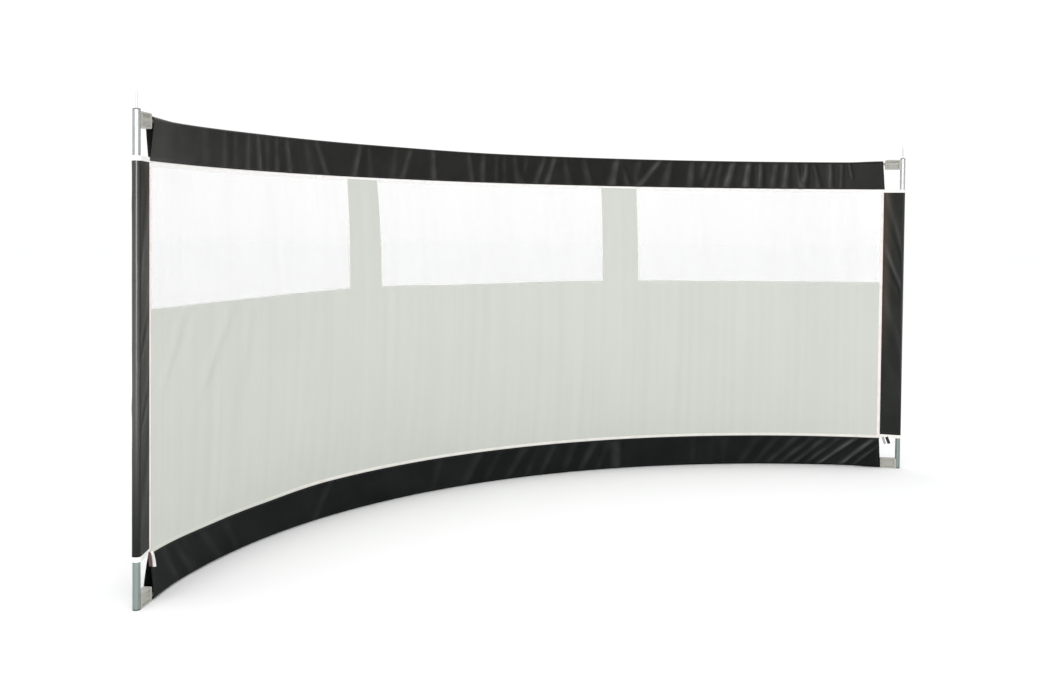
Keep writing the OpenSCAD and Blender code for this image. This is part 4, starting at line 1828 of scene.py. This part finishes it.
@dataclass
class Studio:
    """Floor, soft light and camera.

    Attributes:
        eye: Place of the camera.
        turn: Its turn from +Y, its tilt and its roll, in radians.
        focal_px: Focal length in pixels of the image.
        level_px: Row of the image that the camera's axis meets.
        image: Width and height of the image in pixels.
    """

    eye: tuple[float, float, float] = (-2.7783, -3.6599, 1.0929)
    turn: tuple[float, float, float] = (-0.63289, -0.02797, -0.00949)
    focal_px: float = 1175.04
    level_px: float = 256.04
    image: tuple[int, int] = (1051, 700)

    SENSOR = 36.0
    FLOOR_R = 60.0

    def build(self) -> None:
        """Makes the camera, the floor, the world and the lamps."""
        self._camera()
        self._floor()
        self._world()
        aim = Vector((-0.2, 0.1, 0.7))
        self._lamp("key_softbox", Vector((-4.2, -2.6, 3.4)), aim, (2.0, 2.0), 20.0)
        self._lamp("eye_strip", Vector((-3.6, -5.6, 1.5)), Vector((-0.6, 0.0, 0.7)), (2.0, 2.4), 110.0)
        self._lamp("back_softbox", Vector((0.5, 5.5, 3.8)), aim, (4.0, 3.0), 40.0)
        view = bpy.context.scene.view_settings
        view.view_transform = "Standard"
        view.look = "None"

    def _camera(self) -> None:
        """Sets the camera where the picture was taken from."""
        data = bpy.data.cameras.new("camera")
        data.sensor_width = self.SENSOR
        data.lens = self.focal_px * self.SENSOR / self.image[0]
        data.shift_y = (self.level_px - self.image[1] / 2.0) / self.image[0]
        data.clip_end = 400.0
        camera = link("camera", data)
        yaw, pitch, roll = self.turn
        level = Matrix.Rotation(math.pi / 2.0, 4, "X")
        turned = Matrix.Rotation(yaw, 4, "Z") @ Matrix.Rotation(pitch, 4, "X") @ Matrix.Rotation(roll, 4, "Y")
        camera.matrix_world = Matrix.Translation(self.eye) @ turned @ level
        bpy.context.scene.camera = camera

    def _floor(self) -> None:
        """Lays a wide pale floor."""
        mesh = bpy.data.meshes.new("floor")
        angles = np.linspace(0.0, 2.0 * math.pi, 96, endpoint=False)
        rim = np.stack([self.FLOOR_R * np.cos(angles), self.FLOOR_R * np.sin(angles), 0.0 * angles], -1)
        mesh.from_pydata(rim.tolist(), [], [list(range(len(rim)))])
        paint = bpy.data.materials.new("pale_floor")
        tree = Tree(paint)
        shade = tree.noise(tree.solid(), 0.8, detail=2.0)
        tree.surface({
            "Base Color": tree.mix(shade, srgb(250, 250, 250), srgb(247, 247, 247)),
            "Roughness": 0.9,
            "Specular IOR Level": 0.1,
        })
        mesh.materials.append(paint)
        link("floor", mesh)

    @staticmethod
    def _world() -> None:
        """Soft light from all round, with white behind the object."""
        world = bpy.data.worlds.new("soft_room")
        bpy.context.scene.world = world
        tree = Tree(world)
        x, y, up = tree.parts(tree.add("ShaderNodeTexCoord", out="Generated"))
        left = x * -0.88 + y * -0.47
        level = tree.mix(left.between(-0.8, 0.9), (0.17, 0.172, 0.174), (0.36, 0.364, 0.368))
        light = tree.mix(up.between(0.05, 0.9), level, (1.37, 1.375, 1.38))
        room = tree.add("ShaderNodeBackground", sockets={"Color": light, "Strength": 1.0})
        white = tree.add("ShaderNodeBackground", sockets={"Color": (1.0, 1.0, 1.0, 1.0), "Strength": 1.02})
        seen = tree.add("ShaderNodeLightPath", out="Is Camera Ray")
        both = tree.add("ShaderNodeMixShader", sockets={0: seen, 1: room, 2: white})
        tree.add("ShaderNodeOutputWorld", sockets={"Surface": both})

    @staticmethod
    def _lamp(name: str, place: Vector, aim: Vector, size: tuple[float, float], power: float) -> None:
        """Hangs one softbox.

        Args:
            name: Its name.
            place: Its middle.
            aim: Point that it faces.
            size: Its width and height.
            power: Its power in watts.
        """
        data = bpy.data.lights.new(name, "AREA")
        data.shape = "RECTANGLE"
        data.size, data.size_y = size
        data.energy = power
        lamp = link(name, data)
        lamp.location = place
        lamp.rotation_euler = (aim - place).to_track_quat("-Z", "Y").to_euler()


def hang_tails(layout: Layout) -> None:
    """Hangs the loose tapes at the two lower corners."""
    white_left = [
        (0.086, 0.0045, 0.141),
        (0.089, 0.0072, 0.130),
        (0.092, 0.0094, 0.113),
        (0.094, 0.0106, 0.095),
    ]
    black_left = [
        (0.070, 0.0052, 0.143),
        (0.072, 0.0066, 0.131),
        (0.075, 0.0074, 0.116),
        (0.077, 0.0076, 0.101),
    ]
    white_right = [
        (0.066, 0.0052, 0.139),
        (0.0635, 0.0062, 0.130),
        (0.060, 0.0074, 0.120),
        (0.0555, 0.0084, 0.109),
    ]
    black_right = [
        (0.050, 0.0078, 0.140),
        (0.0465, 0.0084, 0.132),
        (0.0425, 0.0092, 0.122),
        (0.0385, 0.0098, 0.111),
    ]
    for tail in (
        Tail(layout, Side.LEFT, "left_white_tail", WHITE_TAPE, Slot.WHITE_TAPE, white_left, 75.0),
        Tail(layout, Side.LEFT, "left_black_tail", DUSKY_TAPE, Slot.BLACK_TAPE, black_left, 79.0),
        Tail(layout, Side.RIGHT, "right_white_tail", ASH_TAPE, Slot.WHITE_TAPE, white_right),
        Tail(layout, Side.RIGHT, "right_black_tail", BLACK_TAPE, Slot.BLACK_TAPE, black_right, width=0.013),
    ):
        tail.build()


def main() -> None:
    """Builds the sub-assemblies in order."""
    logging.basicConfig(level=logging.INFO, format="%(name)s: %(message)s")
    layout = Layout.from_frame()
    screen = ScreenCloth(layout)
    Studio().build()
    Hardware().dress()
    Panels(screen).build()
    Windows(screen).build()
    Bindings(screen).build()
    SideSleeves(layout).build()
    Tunnels(layout).build()
    hang_tails(layout)


if __name__ == "__main__":
    main()
